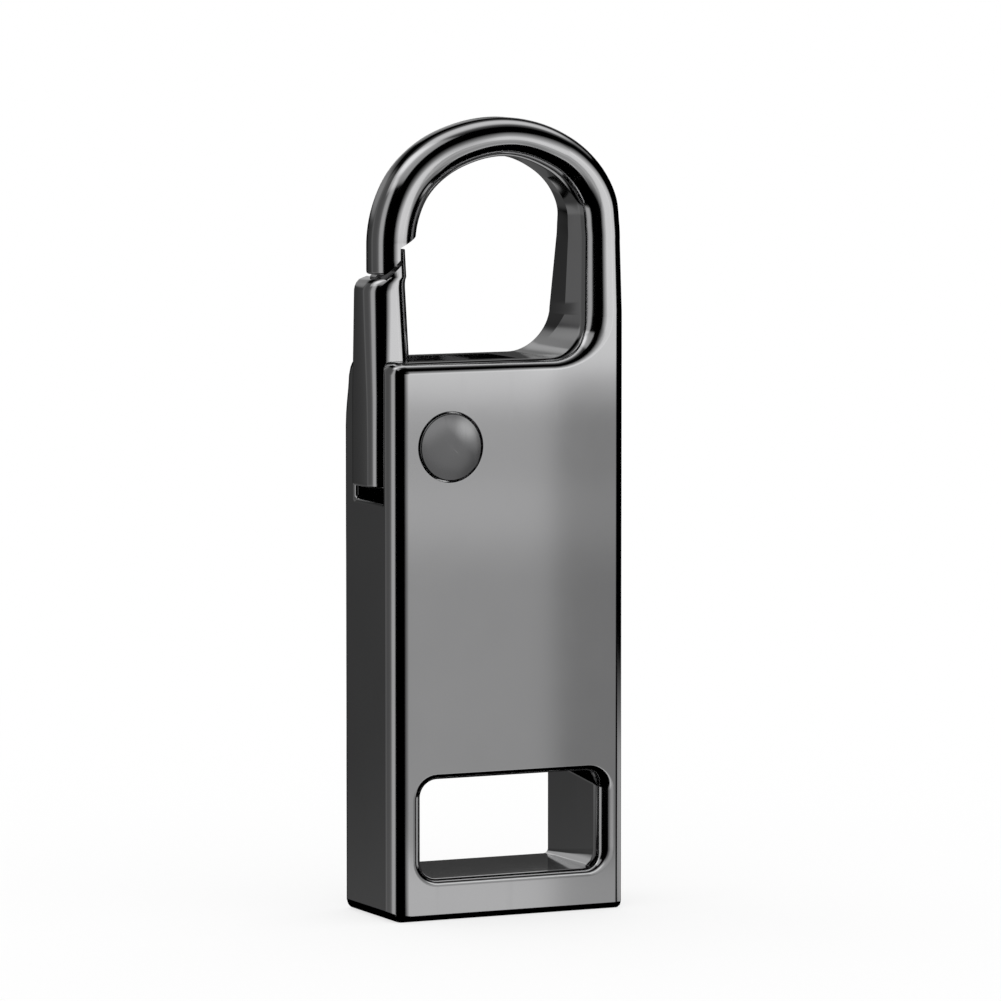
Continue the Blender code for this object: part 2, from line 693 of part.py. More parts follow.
# Gate lever, its rivet and its spring
def head_profile(radius, shank_radius, seat, length):
    """Half section of a domed head, from its crown to its foot, or on to the end of a shank."""
    profile = []
    for step in range(CORNER_STEPS + 2):
        share = step / (CORNER_STEPS + 1)
        profile.append((radius * share, HEAD_EDGE + HEAD_DOME * (1 - share * share)))
    profile.append((radius, -seat))
    profile.append((shank_radius, -seat))
    profile.append((shank_radius, -length))
    profile.append((0, -length))
    return profile


def gate_outline():
    """The lever from its heel up to the nose, the tongue behind the nose, and down to the hub."""
    top = offset_path(nose_path(), FIT)
    start, end = top[3], top[4]
    share = (GATE_INSIDE - GATE_LEAN - start.x) / (end.x - start.x)
    tip = start.lerp(end, share)
    hub = arc(RIVET_CENTRE, RIVET_HEIGHT, HUB_RADIUS, radians(75), radians(-90), 12)
    corner = rounded([
        (GATE_OUTSIDE, GATE_HEEL, 0),
        (GATE_OUTSIDE, top[1].y, GATE_CORNER),
        (top[1].x, top[1].y, 0),
    ], CORNER_STEPS)
    return corner + [top[2], top[3], tip, Vector((GATE_INSIDE, FORK_HEIGHT))] + hub


def build_gate(hinge):
    front = GATE_OFFSET - GATE_DEPTH / 2
    back = GATE_OFFSET + GATE_DEPTH / 2
    mesh = outline_mesh("gate_lever", gate_outline(), front, back)
    taper(mesh, FORK_HEIGHT, GATE_TAPER, GATE_TAPER)
    mesh.transform(Matrix.Translation(-hinge.location))
    gate = place("gate_lever", mesh, PLATED, hinge)
    outside = GATE_OUTSIDE - hinge.location.x

    def edge_radius(middle, run):
        return GATE_EDGE if middle.x < outside + SKIN and abs(run.z) > abs(run.y) else 0

    bevel_edges(gate, edge_radius)
    fork_left = GATE_INSIDE - hinge.location.x
    fork_low = (fork_left, GATE_OFFSET - FORK_WIDTH / 2, -2 * HUB_RADIUS)
    fork_high = (2 * HUB_RADIUS, GATE_OFFSET + FORK_WIDTH / 2, FORK_HEIGHT - hinge.location.z)
    cut(
        gate,
        place("gate_bore", rod_mesh("gate_bore", RIVET_RADIUS + FIT, FRONT, BACK), None, hinge),
        place("gate_fork", box_mesh("gate_fork", fork_low, fork_high), None, hinge),
    )
    at_front = (RIVET_CENTRE, FRONT, RIVET_HEIGHT)
    at_back = (RIVET_CENTRE, BACK, RIVET_HEIGHT)
    seat = HEAD_SINK - FIT
    shank_end = BODY_DEPTH - HEAD_SINK / 2
    turned("gate_rivet", head_profile(HEAD_RADIUS, RIVET_RADIUS, seat, shank_end), PLATED, at_front)
    cap = turned("rivet_cap", head_profile(CAP_RADIUS, 0, seat, seat)[:-2], PLATED, at_back, True)
    socket = rod_mesh("cap_socket", RIVET_RADIUS + FIT, BACK - HEAD_SINK, BACK - HEAD_SINK / 2 + FIT,
                      [(RIVET_CENTRE, RIVET_HEIGHT)])
    cut(cap, place("cap_socket", socket))


def spring_points():
    """Leg along the slot wall, coil round the rivet, leg up the back of the lever."""
    wall = slot_outline()
    run = (wall[3] - wall[2]).normalized()
    first = atan2(-run.x, run.y)
    sweep = 2 * pi * COIL_TURNS + first + pi
    length = COIL_PITCH * sweep / (2 * pi)
    steps = COIL_TURNS * COIL_POINTS + COIL_POINTS // 2
    points = []
    for step in range(steps + 1):
        share = step / steps
        angle = first - sweep * share
        y = GATE_OFFSET + length * (share - 0.5)
        points.append(Vector((COIL_RADIUS * cos(angle), y, COIL_RADIUS * sin(angle))))
    lead = points[0] + Vector((run.x, 0, run.y)) * LEG_LENGTH
    tail = points[-1] + Vector((0, 0, LEG_LENGTH))
    return [lead] + points + [tail]


def build_spring(hinge):
    curve = bpy.data.curves.new("gate_spring", "CURVE")
    curve.dimensions = "3D"
    curve.bevel_depth = WIRE / 2
    curve.bevel_resolution = 1
    curve.use_fill_caps = True
    points = spring_points()
    spline = curve.splines.new("POLY")
    spline.points.add(len(points) - 1)
    for place_on, point in zip(spline.points, points):
        place_on.co = (*point, 1)
    curve.materials.append(SPRING_STEEL)
    spring = bpy.data.objects.new("gate_spring", curve)
    spring.parent = hinge
    PARTS.objects.link(spring)


# Plug arm: everything here is placed from the pivot, with the plug's tip down
def arm_outline():
    half = PLUG_WIDTH / 2
    return [Vector((-half, -ARM_LENGTH)), Vector((half, -ARM_LENGTH))] + arc(0, 0, half, 0, pi, 20)


def arm_screw_places():
    reach = PLUG_WIDTH / 2 - SCREW_EDGE
    return [(-reach, 0), (reach, 0)]


def build_arm(hinge):
    half = ARM_DEPTH / 2
    bush_radius = PIN_RADIUS + FIT + BUSH_WALL
    neck_x = PLUG_WIDTH / 2 - NECK_INSET + FIT
    neck_y = PLUG_DEPTH / 2 - NECK_INSET + FIT
    neck_top = -ARM_LENGTH + NECK_LENGTH + FIT
    for name, front, back in (("arm_front_shell", -half, -FIT / 2), ("arm_rear_shell", FIT / 2, half)):
        shell = place(name, outline_mesh(name, arm_outline(), front, back), PLATED, hinge)
        cut(
            shell,
            place(name + "_bore", rod_mesh(name + "_bore", bush_radius + FIT, -BACK, BACK), None, hinge),
            place(name + "_socket", box_mesh(name + "_socket", (-neck_x, -neck_y, -ARM_LENGTH - GAP),
                                             (neck_x, neck_y, neck_top)), None, hinge),
            place(name + "_screws", rod_mesh(name + "_screws", SCREW_RADIUS + FIT, -half / 2, BACK,
                                             arm_screw_places(), 12), None, hinge),
        )
    head_front = half - SCREW_HEAD_THICK
    seats = rod_mesh("arm_head_seats", SCREW_HEAD + FIT, head_front - FIT, BACK, arm_screw_places(), 20)
    cut(bpy.data.objects["arm_rear_shell"], place("arm_head_seats", seats, None, hinge))
    for index, (x, z) in enumerate(arm_screw_places()):
        add_screw(f"arm_screw_{index + 1}", x, half - FIT / 2, z, half + half / 2 - GAP, hinge)
    bush = place("pivot_bushing", rod_mesh("pivot_bushing", bush_radius, -half, half), BRASS, hinge)
    bush_hole = rod_mesh("bush_hole", PIN_RADIUS + FIT, -BACK, BACK)
    cut(bush, place("bush_hole", bush_hole, None, hinge))


def build_plug(hinge):
    half_x = PLUG_WIDTH / 2
    half_y = PLUG_DEPTH / 2
    rear = -ARM_LENGTH - FIT
    tip = -PLUG_TIP
    shell = place("plug_shell", box_mesh("plug_shell", (-half_x, -half_y, tip), (half_x, half_y, rear)), STEEL, hinge)
    rounding = shell.modifiers.new("rounding", "BEVEL")
    rounding.width = PLUG_ROUND
    rounding.segments = 2
    neck_x = half_x - NECK_INSET
    neck_y = half_y - NECK_INSET
    neck_top = -ARM_LENGTH + NECK_LENGTH
    neck = box_mesh("plug_neck", (-neck_x, -neck_y, rear - PLUG_ROUND), (neck_x, neck_y, neck_top))
    change(shell, place("plug_neck", neck, None, hinge), "UNION")
    in_x = half_x - SHELL_WALL
    in_y = half_y - SHELL_WALL
    hollow = box_mesh("plug_hollow", (-in_x, -in_y, tip - GAP), (in_x, in_y, rear - PLUG_ROUND - SHELL_WALL))
    throat = box_mesh("plug_throat", (-neck_x + SHELL_WALL, -neck_y + SHELL_WALL, tip),
                      (neck_x - SHELL_WALL, neck_y - SHELL_WALL, neck_top + GAP))
    cut(shell, place("plug_hollow", hollow, None, hinge), place("plug_throat", throat, None, hinge))
    hole = CONTACT_PITCH / 2
    for side in -1, 1:
        name = "shell_window_left" if side < 0 else "shell_window_right"
        middle = side * CONTACT_PITCH
        low = (middle - hole, -half_y - GAP, tip + 2 * CONTACT_PITCH)
        high = (middle + hole, half_y + GAP, tip + 3 * CONTACT_PITCH - SHELL_WALL)
        cut(shell, place(name, box_mesh(name, low, high), None, hinge))
    board_half = in_x - FIT
    board_low = tip + GAP
    board_high = board_low + BOARD_LENGTH
    board_back = BOARD_FACE + BOARD_THICK
    place("circuit_board", box_mesh("circuit_board", (-board_half, BOARD_FACE, board_low),
                                    (board_half, board_back, board_high)), BOARD_GREEN, hinge)
    carrier_front = board_back + FIT
    carrier_back = carrier_front + CARRIER_THICK
    carrier = box_mesh("carrier", (-board_half, carrier_front, board_low), (board_half, carrier_back, board_high))
    carrier = place("board_carrier", carrier, DARK_PLASTIC, hinge)
    rail = board_half - CARRIER_RAIL
    pocket = box_mesh("carrier_pocket", (-rail, carrier_front - GAP, board_low + CARRIER_RAIL),
                      (rail, carrier_back + GAP, board_high - CARRIER_RAIL))
    cut(carrier, place("carrier_pocket", pocket, None, hinge))
    contact_back = BOARD_FACE - FIT / 2
    contact_middle = board_low + GAP + CONTACT_LENGTH / 2
    for index in range(4):
        spot = ((index - 1.5) * CONTACT_PITCH, contact_middle)
        component(f"plug_contact_{index + 1}", spot, (CONTACT_WIDTH, CONTACT_LENGTH),
                  contact_back - CONTACT_THICK, CONTACT_THICK, GOLD, hinge)
    build_chips(hinge, board_back + FIT / 2, board_low + CARRIER_RAIL, rail)


def component(name, centre, size, front, thick, material, hinge):
    x, z = centre
    width, height = size
    mesh = box_mesh(name, (x - width / 2, front, z - height / 2), (x + width / 2, front + thick, z + height / 2))
    place(name, mesh, material, hinge)


def build_chips(hinge, front, low, rail):
    """The chips between the carrier's rails, with three small pairs beside the controller."""
    small_pitch = SMALL_SIZE[0] + CHIP_ROW
    controller_half = rail - SMALL_MARGIN - 3 * small_pitch
    flash = (2 * (rail - FLASH_MARGIN), FLASH_LENGTH)
    controller = (2 * controller_half, CONTROLLER_LENGTH)
    flash_z = low + CHIP_ROW + FLASH_LENGTH / 2
    component("flash_chip", (0, flash_z), flash, front, CHIP_THICK, CHIP_BLACK, hinge)
    row = low + 2 * CHIP_ROW + FLASH_LENGTH
    control_z = row + CONTROLLER_LENGTH / 2
    component("controller_chip", (0, control_z), controller, front, CHIP_THICK, CHIP_BLACK, hinge)
    crystal_x = -controller_half - CHIP_ROW - CRYSTAL_SIZE[0] / 2
    component("clock_crystal", (crystal_x, control_z), CRYSTAL_SIZE, front, CHIP_THICK, STEEL, hinge)
    first = controller_half + CHIP_ROW + SMALL_SIZE[0] / 2
    for index in range(3):
        x = first + index * small_pitch
        lower = row + SMALL_SIZE[1] / 2
        upper = lower + SMALL_SIZE[1] + CHIP_ROW
        component(f"capacitor_{index + 1}", (x, lower), SMALL_SIZE, front, SMALL_THICK, CERAMIC, hinge)
        component(f"resistor_{index + 1}", (x, upper), SMALL_SIZE, front, SMALL_THICK, CHIP_BLACK, hinge)


def add_hinge(name, location):
    hinge = bpy.data.objects.new(name, None)
    hinge.location = location
    PARTS.objects.link(hinge)
    return hinge


build_body()
build_cover()
gate_hinge = add_hinge("gate_hinge", (RIVET_CENTRE, 0, RIVET_HEIGHT))
build_gate(gate_hinge)
build_spring(gate_hinge)
plug_hinge = add_hinge("plug_hinge", (PIVOT_CENTRE, 0, PIVOT_HEIGHT))
build_arm(plug_hinge)
build_plug(plug_hinge)
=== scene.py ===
from math import atan2, cos, pi, radians, sin, sqrt, tan

import bmesh
import bpy
from mathutils import Matrix, Vector


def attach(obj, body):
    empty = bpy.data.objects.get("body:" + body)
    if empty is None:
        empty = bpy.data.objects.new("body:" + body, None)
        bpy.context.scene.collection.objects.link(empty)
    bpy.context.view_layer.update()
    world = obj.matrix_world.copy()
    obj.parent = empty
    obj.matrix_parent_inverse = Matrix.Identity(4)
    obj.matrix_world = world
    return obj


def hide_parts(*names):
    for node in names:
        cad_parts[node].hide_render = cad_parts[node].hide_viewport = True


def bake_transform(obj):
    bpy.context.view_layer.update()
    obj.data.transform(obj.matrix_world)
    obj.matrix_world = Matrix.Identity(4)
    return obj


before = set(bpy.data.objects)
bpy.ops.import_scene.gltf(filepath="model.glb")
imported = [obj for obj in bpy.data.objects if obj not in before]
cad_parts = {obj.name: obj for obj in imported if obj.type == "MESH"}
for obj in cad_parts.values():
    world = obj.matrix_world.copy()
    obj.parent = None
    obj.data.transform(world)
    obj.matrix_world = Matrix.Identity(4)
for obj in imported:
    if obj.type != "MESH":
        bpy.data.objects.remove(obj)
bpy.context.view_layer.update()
mm = 0.001                        # pieces are modelled in millimetres and scaled once at the end
largeFace = 1.5                   # square millimetres
sliver = 0.001                                                    # millimetres


# small tools for modelling

def clearSelection():
    if bpy.context.object and bpy.context.object.mode != "OBJECT":
        bpy.ops.object.mode_set(mode="OBJECT")
    bpy.ops.object.select_all(action="DESELECT")


def makeActive(piece):
    clearSelection()
    piece.select_set(True)
    bpy.context.view_layer.objects.active = piece


def startCube(name, low, high):
    clearSelection()
    low, high = Vector(low), Vector(high)
    bpy.ops.mesh.primitive_cube_add(size=1, location=(low + high) / 2)
    piece = bpy.context.object
    piece.name = name
    piece.scale = high - low
    bpy.ops.object.transform_apply(location=True, rotation=True, scale=True)
    return piece


def startRod(name, radius, front, back, x, z, sides=96):
    clearSelection()
    bpy.ops.mesh.primitive_cylinder_add(vertices=sides, radius=radius, depth=back - front,
                                        location=(x, (front + back) / 2, z), rotation=(pi / 2, 0, 0))
    piece = bpy.context.object
    piece.name = name
    bpy.ops.object.transform_apply(location=True, rotation=True, scale=True)
    return piece


def startOutline(name, outline, front, back):
    # flat outline in X and Z, then one extrude to the back
    mesh = bpy.data.meshes.new(name)
    mesh.from_pydata([(x, front, z) for x, z in outline], [], [range(len(outline))])
    piece = bpy.data.objects.new(name, mesh)
    bpy.context.scene.collection.objects.link(piece)
    makeActive(piece)
    bpy.ops.object.mode_set(mode="EDIT")
    bpy.ops.mesh.select_all(action="SELECT")
    bpy.ops.mesh.extrude_region_move(TRANSFORM_OT_translate={"value": (0, back - front, 0)})
    bpy.ops.mesh.select_all(action="SELECT")
    bpy.ops.mesh.normals_make_consistent(inside=False)
    bpy.ops.object.mode_set(mode="OBJECT")
    return piece


def startLoft(name, rings):
    # rings of equal point counts, skinned one to the next, ends closed
    mesh = bpy.data.meshes.new(name)
    work = bmesh.new()
    loops = [[work.verts.new(point) for point in ring] for ring in rings]
    skinRings(work, loops)
    work.faces.new(loops[0])
    work.faces.new(loops[-1])
    bmesh.ops.recalc_face_normals(work, faces=work.faces)
    work.to_mesh(mesh)
    work.free()
    piece = bpy.data.objects.new(name, mesh)
    bpy.context.scene.collection.objects.link(piece)
    return piece


def skinRings(work, loops):
    for lower, upper in zip(loops, loops[1:]):
        for index in range(len(lower)):
            after = (index + 1) % len(lower)
            work.faces.new((lower[index], lower[after], upper[after], upper[index]))


def spinProfile(name, profile, x, y, z, toBack, steps=96):
    # (radius, height) points from crown to foot, spun about an axis along Y
    mesh = bpy.data.meshes.new(name)
    side = 1 if toBack else -1
    points = [(x + radius, y + side * height, z) for radius, height in profile]
    mesh.from_pydata(points, [(index, index + 1) for index in range(len(points) - 1)], [])
    piece = bpy.data.objects.new(name, mesh)
    bpy.context.scene.collection.objects.link(piece)
    makeActive(piece)
    bpy.ops.object.mode_set(mode="EDIT")
    bpy.ops.mesh.select_all(action="SELECT")
    bpy.ops.mesh.spin(steps=steps, angle=2 * pi, center=(x, y, z), axis=(0, 1, 0))
    bpy.ops.mesh.select_all(action="SELECT")
    bpy.ops.mesh.remove_doubles(threshold=0.0005)
    bpy.ops.mesh.normals_make_consistent(inside=False)
    bpy.ops.object.mode_set(mode="OBJECT")
    return piece


def applyBoolean(piece, tool, operation="DIFFERENCE"):
    makeActive(piece)
    change = piece.modifiers.new(tool.name, "BOOLEAN")
    change.object = tool
    change.operation = operation
    change.solver = "EXACT"
    bpy.ops.object.modifier_apply(modifier=change.name)
    bpy.data.objects.remove(tool, do_unlink=True)


def applyBevel(piece, radiusOf, largest, steps):
    # radiusOf(middle, run) says how round each edge becomes
    mesh = piece.data
    weights = mesh.attributes.new("bevel_weight_edge", "FLOAT", "EDGE")
    for edge in mesh.edges:
        start, end = (mesh.vertices[index].co for index in edge.vertices)
        weights.data[edge.index].value = radiusOf((start + end) / 2, end - start) / largest
    makeActive(piece)
    rounding = piece.modifiers.new("rounding", "BEVEL")
    rounding.width = largest
    rounding.limit_method = "WEIGHT"
    rounding.segments = steps
    rounding.use_clamp_overlap = False
    bpy.ops.object.modifier_apply(modifier=rounding.name)


def finishPiece(piece, name, body, material, stands=(), angle=32):
    makeActive(piece)
    piece.name = name
    # slivers left by the cuts are closed up
    bpy.ops.object.mode_set(mode="EDIT")
    bpy.ops.mesh.select_all(action="SELECT")
    bpy.ops.mesh.remove_doubles(threshold=sliver)
    bpy.ops.mesh.dissolve_degenerate(threshold=sliver)
    bpy.ops.object.mode_set(mode="OBJECT")
    piece.scale = (mm, mm, mm)
    bpy.ops.object.transform_apply(location=True, rotation=True, scale=True)
    bpy.ops.object.shade_smooth_by_angle(angle=radians(angle))
    # the corners of large faces take that face's normal, so flats stay flat beside small roundings
    flats = piece.vertex_groups.new(name="flats")
    for face in piece.data.polygons:
        if face.area > largeFace * mm * mm:
            flats.add(list(face.vertices), 1.0, "REPLACE")
    level = piece.modifiers.new("flat faces lead", "WEIGHTED_NORMAL")
    level.vertex_group = flats.name
    level.keep_sharp = True
    level.weight = 100
    bpy.ops.object.modifier_apply(modifier=level.name)
    piece.vertex_groups.clear()
    piece.data.materials.clear()
    piece.data.materials.append(material)
    if body:
        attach(piece, body)
    if stands:
        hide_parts(*stands)
    return piece


def roundedCorners(corners, steps):
    # closed outline whose corners (x, z, radius) become arcs
    points = []
    for index, (x, z, radius) in enumerate(corners):
        here = Vector((x, z))
        if radius == 0:
            points.append(here)
            continue
        before = Vector(corners[index - 1][:2]) - here
        after = Vector(corners[(index + 1) % len(corners)][:2]) - here
        half = before.angle(after) / 2
        bisector = (before.normalized() + after.normalized()).normalized()
        centre = here + bisector * radius / sin(half)
        first = here + before.normalized() * radius / tan(half) - centre
        turn = (pi - 2 * half) * (1 if before.cross(after) < 0 else -1)
        for step in range(steps + 1):
            points.append(centre + Matrix.Rotation(turn * step / steps, 2) @ first)
    return points


def smoothStep(value, start, end):
    share = min(max((value - start) / (end - start), 0), 1)
    return share * share * (3 - 2 * share)


# finishes

def newGroup(name, inputs, outputs):
    group = bpy.data.node_groups.new(name, "ShaderNodeTree")
    for socketName, kind, value in inputs:
        socket = group.interface.new_socket(socketName, in_out="INPUT", socket_type=kind)
        socket.default_value = value
    for socketName, kind in outputs:
        group.interface.new_socket(socketName, in_out="OUTPUT", socket_type=kind)
    return group, group.nodes.new("NodeGroupInput"), group.nodes.new("NodeGroupOutput")


def addMath(nodes, links, operation, first, second):
    node = nodes.new("ShaderNodeMath")
    node.operation = operation
    for socket, value in zip(node.inputs, (first, second)):
        if isinstance(value, (int, float)):
            socket.default_value = value
        else:
            links.new(value, socket)
    return node.outputs[0]


def makeHandling():
    # hazy smears and fine hairline scratches left by a pocket
    group, given, out = newGroup("handling", [("Smear Scale", "NodeSocketFloat", 160.0),
                                              ("Hair Scale", "NodeSocketFloat", 900.0)],
                                 [("Smear", "NodeSocketFloat"), ("Hair", "NodeSocketFloat")])
    nodes, links = group.nodes, group.links
    place = nodes.new("ShaderNodeTexCoord")
    smear = nodes.new("ShaderNodeTexNoise")
    smear.inputs["Detail"].default_value = 5
    smear.inputs["Roughness"].default_value = 0.6
    links.new(place.outputs["Object"], smear.inputs["Vector"])
    links.new(given.outputs["Smear Scale"], smear.inputs["Scale"])
    links.new(smear.outputs["Fac"], out.inputs["Smear"])
    stretch = nodes.new("ShaderNodeMapping")
    stretch.inputs["Rotation"].default_value = (0.3, 0.5, 0.4)
    stretch.inputs["Scale"].default_value = (1.0, 1.0, 0.04)
    links.new(place.outputs["Object"], stretch.inputs["Vector"])
    hair = nodes.new("ShaderNodeTexNoise")
    hair.inputs["Detail"].default_value = 2
    links.new(stretch.outputs["Vector"], hair.inputs["Vector"])
    links.new(given.outputs["Hair Scale"], hair.inputs["Scale"])
    sharpen = nodes.new("ShaderNodeMapRange")
    sharpen.inputs["From Min"].default_value = 0.62
    sharpen.inputs["From Max"].default_value = 0.74
    links.new(hair.outputs["Fac"], sharpen.inputs["Value"])
    links.new(sharpen.outputs["Result"], out.inputs["Hair"])
    return group


def makeEdgeWear():
    # plating rubbed thin where the surface turns sharply
    group, given, out = newGroup("edgeWear", [("Start", "NodeSocketFloat", 0.52), ("End", "NodeSocketFloat", 0.62)],
                                 [("Worn", "NodeSocketFloat")])
    nodes, links = group.nodes, group.links
    shape = nodes.new("ShaderNodeNewGeometry")
    place = nodes.new("ShaderNodeTexCoord")
    patch = nodes.new("ShaderNodeTexNoise")
    patch.inputs["Scale"].default_value = 420
    patch.inputs["Detail"].default_value = 4
    links.new(place.outputs["Object"], patch.inputs["Vector"])
    ramp = nodes.new("ShaderNodeMapRange")
    links.new(shape.outputs["Pointiness"], ramp.inputs["Value"])
    links.new(given.outputs["Start"], ramp.inputs["From Min"])
    links.new(given.outputs["End"], ramp.inputs["From Max"])
    links.new(addMath(nodes, links, "MULTIPLY", ramp.outputs["Result"], patch.outputs["Fac"]), out.inputs["Worn"])
    return group


handling = makeHandling()
edgeWear = makeEdgeWear()


def addGroup(nodes, group, **values):
    node = nodes.new("ShaderNodeGroup")
    node.node_tree = group
    for name, value in values.items():
        node.inputs[name.replace("_", " ")].default_value = value
    return node


def blendColour(nodes, links, mask, first, second):
    mix = nodes.new("ShaderNodeMix")
    mix.data_type = "RGBA"
    mix.inputs["A"].default_value = (*first, 1)
    mix.inputs["B"].default_value = (*second, 1)
    links.new(mask, mix.inputs["Factor"])
    return mix.outputs["Result"]


def blendValue(nodes, links, mask, low, high):
    ramp = nodes.new("ShaderNodeMapRange")
    ramp.inputs["To Min"].default_value = low
    ramp.inputs["To Max"].default_value = high
    links.new(mask, ramp.inputs["Value"])
    return ramp.outputs["Result"]


def addPaintedGlintSpot(nodes, links, look):
    # painted highlight: 1 at a place on the piece, fading to 0 round it; there the colour goes to the light bare tone
    # as a painted glint
    place = nodes.new("ShaderNodeTexCoord")
    away = nodes.new("ShaderNodeVectorMath")
    away.operation = "DISTANCE"
    away.inputs[1].default_value = look["paintedGlintAt"]
    links.new(place.outputs["Object"], away.inputs[0])
    fade = nodes.new("ShaderNodeMapRange")
    fade.interpolation_type = "SMOOTHSTEP"
    fade.inputs["From Min"].default_value = look["paintedGlintReach"][1]
    fade.inputs["From Max"].default_value = look["paintedGlintReach"][0]
    links.new(away.outputs["Value"], fade.inputs["Value"])
    return fade.outputs["Result"]


def makeMetal(name, look):
    material = bpy.data.materials.new(name)
    material.use_nodes = True
    nodes, links = material.node_tree.nodes, material.node_tree.links
    shader = nodes["Principled BSDF"]
    shader.inputs["Metallic"].default_value = 1.0
    marks = addGroup(nodes, handling, Smear_Scale=look["smearScale"], Hair_Scale=look["hairScale"])
    wear = addGroup(nodes, edgeWear, Start=look["wearStart"], End=look["wearEnd"])
    tint = blendColour(nodes, links, marks.outputs["Smear"], look["dark"], look["light"])
    wornAndPaintedGlint = nodes.new("ShaderNodeMix")
    wornAndPaintedGlint.data_type = "RGBA"
    wornAndPaintedGlint.inputs["B"].default_value = (*look["bareAndPaintedGlint"], 1)
    links.new(tint, wornAndPaintedGlint.inputs["A"])
    amount = wear.outputs["Worn"]
    # painted highlight: where the look names a spot, the light bare colour is painted there as a glint, besides the
    # real edge wear
    if "paintedGlintAt" in look:
        amount = addMath(nodes, links, "MAXIMUM", amount, addPaintedGlintSpot(nodes, links, look))
    links.new(amount, wornAndPaintedGlint.inputs["Factor"])
    links.new(wornAndPaintedGlint.outputs["Result"], shader.inputs["Base Color"])
    haze = blendValue(nodes, links, marks.outputs["Smear"], look["rough"][0], look["rough"][1])
    scratched = addMath(nodes, links, "MULTIPLY", marks.outputs["Hair"], look["hairRough"])
    rubbed = addMath(nodes, links, "MULTIPLY", wear.outputs["Worn"], 0.25)
    rough = addMath(nodes, links, "ADD", addMath(nodes, links, "ADD", haze, scratched), rubbed)
    links.new(rough, shader.inputs["Roughness"])
    ripple = nodes.new("ShaderNodeTexNoise")
    ripple.inputs["Scale"].default_value = look["rippleScale"]
    ripple.inputs["Detail"].default_value = 1
    place = nodes.new("ShaderNodeTexCoord")
    links.new(place.outputs["Object"], ripple.inputs["Vector"])
    bump = nodes.new("ShaderNodeBump")
    bump.inputs["Strength"].default_value = look["ripple"]
    bump.inputs["Distance"].default_value = 0.0001
    links.new(ripple.outputs["Fac"], bump.inputs["Height"])
    links.new(bump.outputs["Normal"], shader.inputs["Normal"])
    return material


def makePlastic(name, look):
    material = bpy.data.materials.new(name)
    material.use_nodes = True
    nodes, links = material.node_tree.nodes, material.node_tree.links
    shader = nodes["Principled BSDF"]
    marks = addGroup(nodes, handling, Smear_Scale=look["smearScale"], Hair_Scale=look["hairScale"])
    links.new(blendColour(nodes, links, marks.outputs["Smear"], look["dark"], look["light"]), shader.inputs["Base Color"])
    links.new(blendValue(nodes, links, marks.outputs["Smear"], look["rough"][0], look["rough"][1]),
              shader.inputs["Roughness"])
    grain = nodes.new("ShaderNodeTexNoise")
    grain.inputs["Scale"].default_value = look["grainScale"]
    place = nodes.new("ShaderNodeTexCoord")
    links.new(place.outputs["Object"], grain.inputs["Vector"])
    bump = nodes.new("ShaderNodeBump")
    bump.inputs["Strength"].default_value = look["grain"]
    bump.inputs["Distance"].default_value = 0.00005
    links.new(grain.outputs["Fac"], bump.inputs["Height"])
    links.new(bump.outputs["Normal"], shader.inputs["Normal"])
    return material


gunmetal = makeMetal("gunmetal plating", {
    "dark": (0.48, 0.48, 0.485), "light": (0.54, 0.54, 0.545), "bareAndPaintedGlint": (0.66, 0.65, 0.64),
    "rough": (0.05, 0.12), "hairRough": 0.03, "smearScale": 120, "hairScale": 1500,
    "wearStart": 0.56, "wearEnd": 0.75, "rippleScale": 160, "ripple": 0.03})
rivetSatin = makeMetal("rivet satin", {
    "dark": (0.20, 0.20, 0.203), "light": (0.25, 0.25, 0.253), "bareAndPaintedGlint": (0.40, 0.395, 0.39),
    "rough": (0.18, 0.26), "hairRough": 0.05, "smearScale": 300, "hairScale": 2500,
    "wearStart": 0.56, "wearEnd": 0.75, "rippleScale": 500, "ripple": 0.03})
# rivet head: a painted highlight, a light spot painted into the colour at the head's upper right in place of a glint
rivetWithPaintedGlint = makeMetal("rivet with painted glint", {
    "dark": (0.165, 0.165, 0.168), "light": (0.21, 0.21, 0.213), "bareAndPaintedGlint": (0.36, 0.36, 0.363),
    "rough": (0.16, 0.22), "hairRough": 0.05, "smearScale": 300, "hairScale": 2500,
    "wearStart": 0.56, "wearEnd": 0.75, "rippleScale": 500, "ripple": 0.03,
    "paintedGlintAt": (-0.00323, -0.0047, 0.03655), "paintedGlintReach": (0.0002, 0.00145)})
brightSteel = makeMetal("bright steel", {
    "dark": (0.58, 0.58, 0.59), "light": (0.70, 0.70, 0.71), "bareAndPaintedGlint": (0.80, 0.79, 0.78),
    "rough": (0.16, 0.30), "hairRough": 0.08, "smearScale": 260, "hairScale": 2200,
    "wearStart": 0.55, "wearEnd": 0.75, "rippleScale": 400, "ripple": 0.04})
springSteel = makeMetal("oiled spring steel", {
    "dark": (0.30, 0.30, 0.31), "light": (0.46, 0.46, 0.47), "bareAndPaintedGlint": (0.62, 0.61, 0.60),
    "rough": (0.22, 0.38), "hairRough": 0.06, "smearScale": 700, "hairScale": 2600,
    "wearStart": 0.55, "wearEnd": 0.75, "rippleScale": 900, "ripple": 0.05})
turnedBrass = makeMetal("turned brass", {
    "dark": (0.62, 0.45, 0.20), "light": (0.78, 0.60, 0.30), "bareAndPaintedGlint": (0.88, 0.72, 0.42),
    "rough": (0.20, 0.34), "hairRough": 0.06, "smearScale": 500, "hairScale": 2600,
    "wearStart": 0.55, "wearEnd": 0.75, "rippleScale": 900, "ripple": 0.05})
goldPlate = makeMetal("gold plate", {
    "dark": (0.80, 0.56, 0.20), "light": (0.94, 0.72, 0.34), "bareAndPaintedGlint": (0.96, 0.80, 0.50),
    "rough": (0.14, 0.26), "hairRough": 0.10, "smearScale": 800, "hairScale": 3000,
    "wearStart": 0.55, "wearEnd": 0.75, "rippleScale": 1200, "ripple": 0.04})
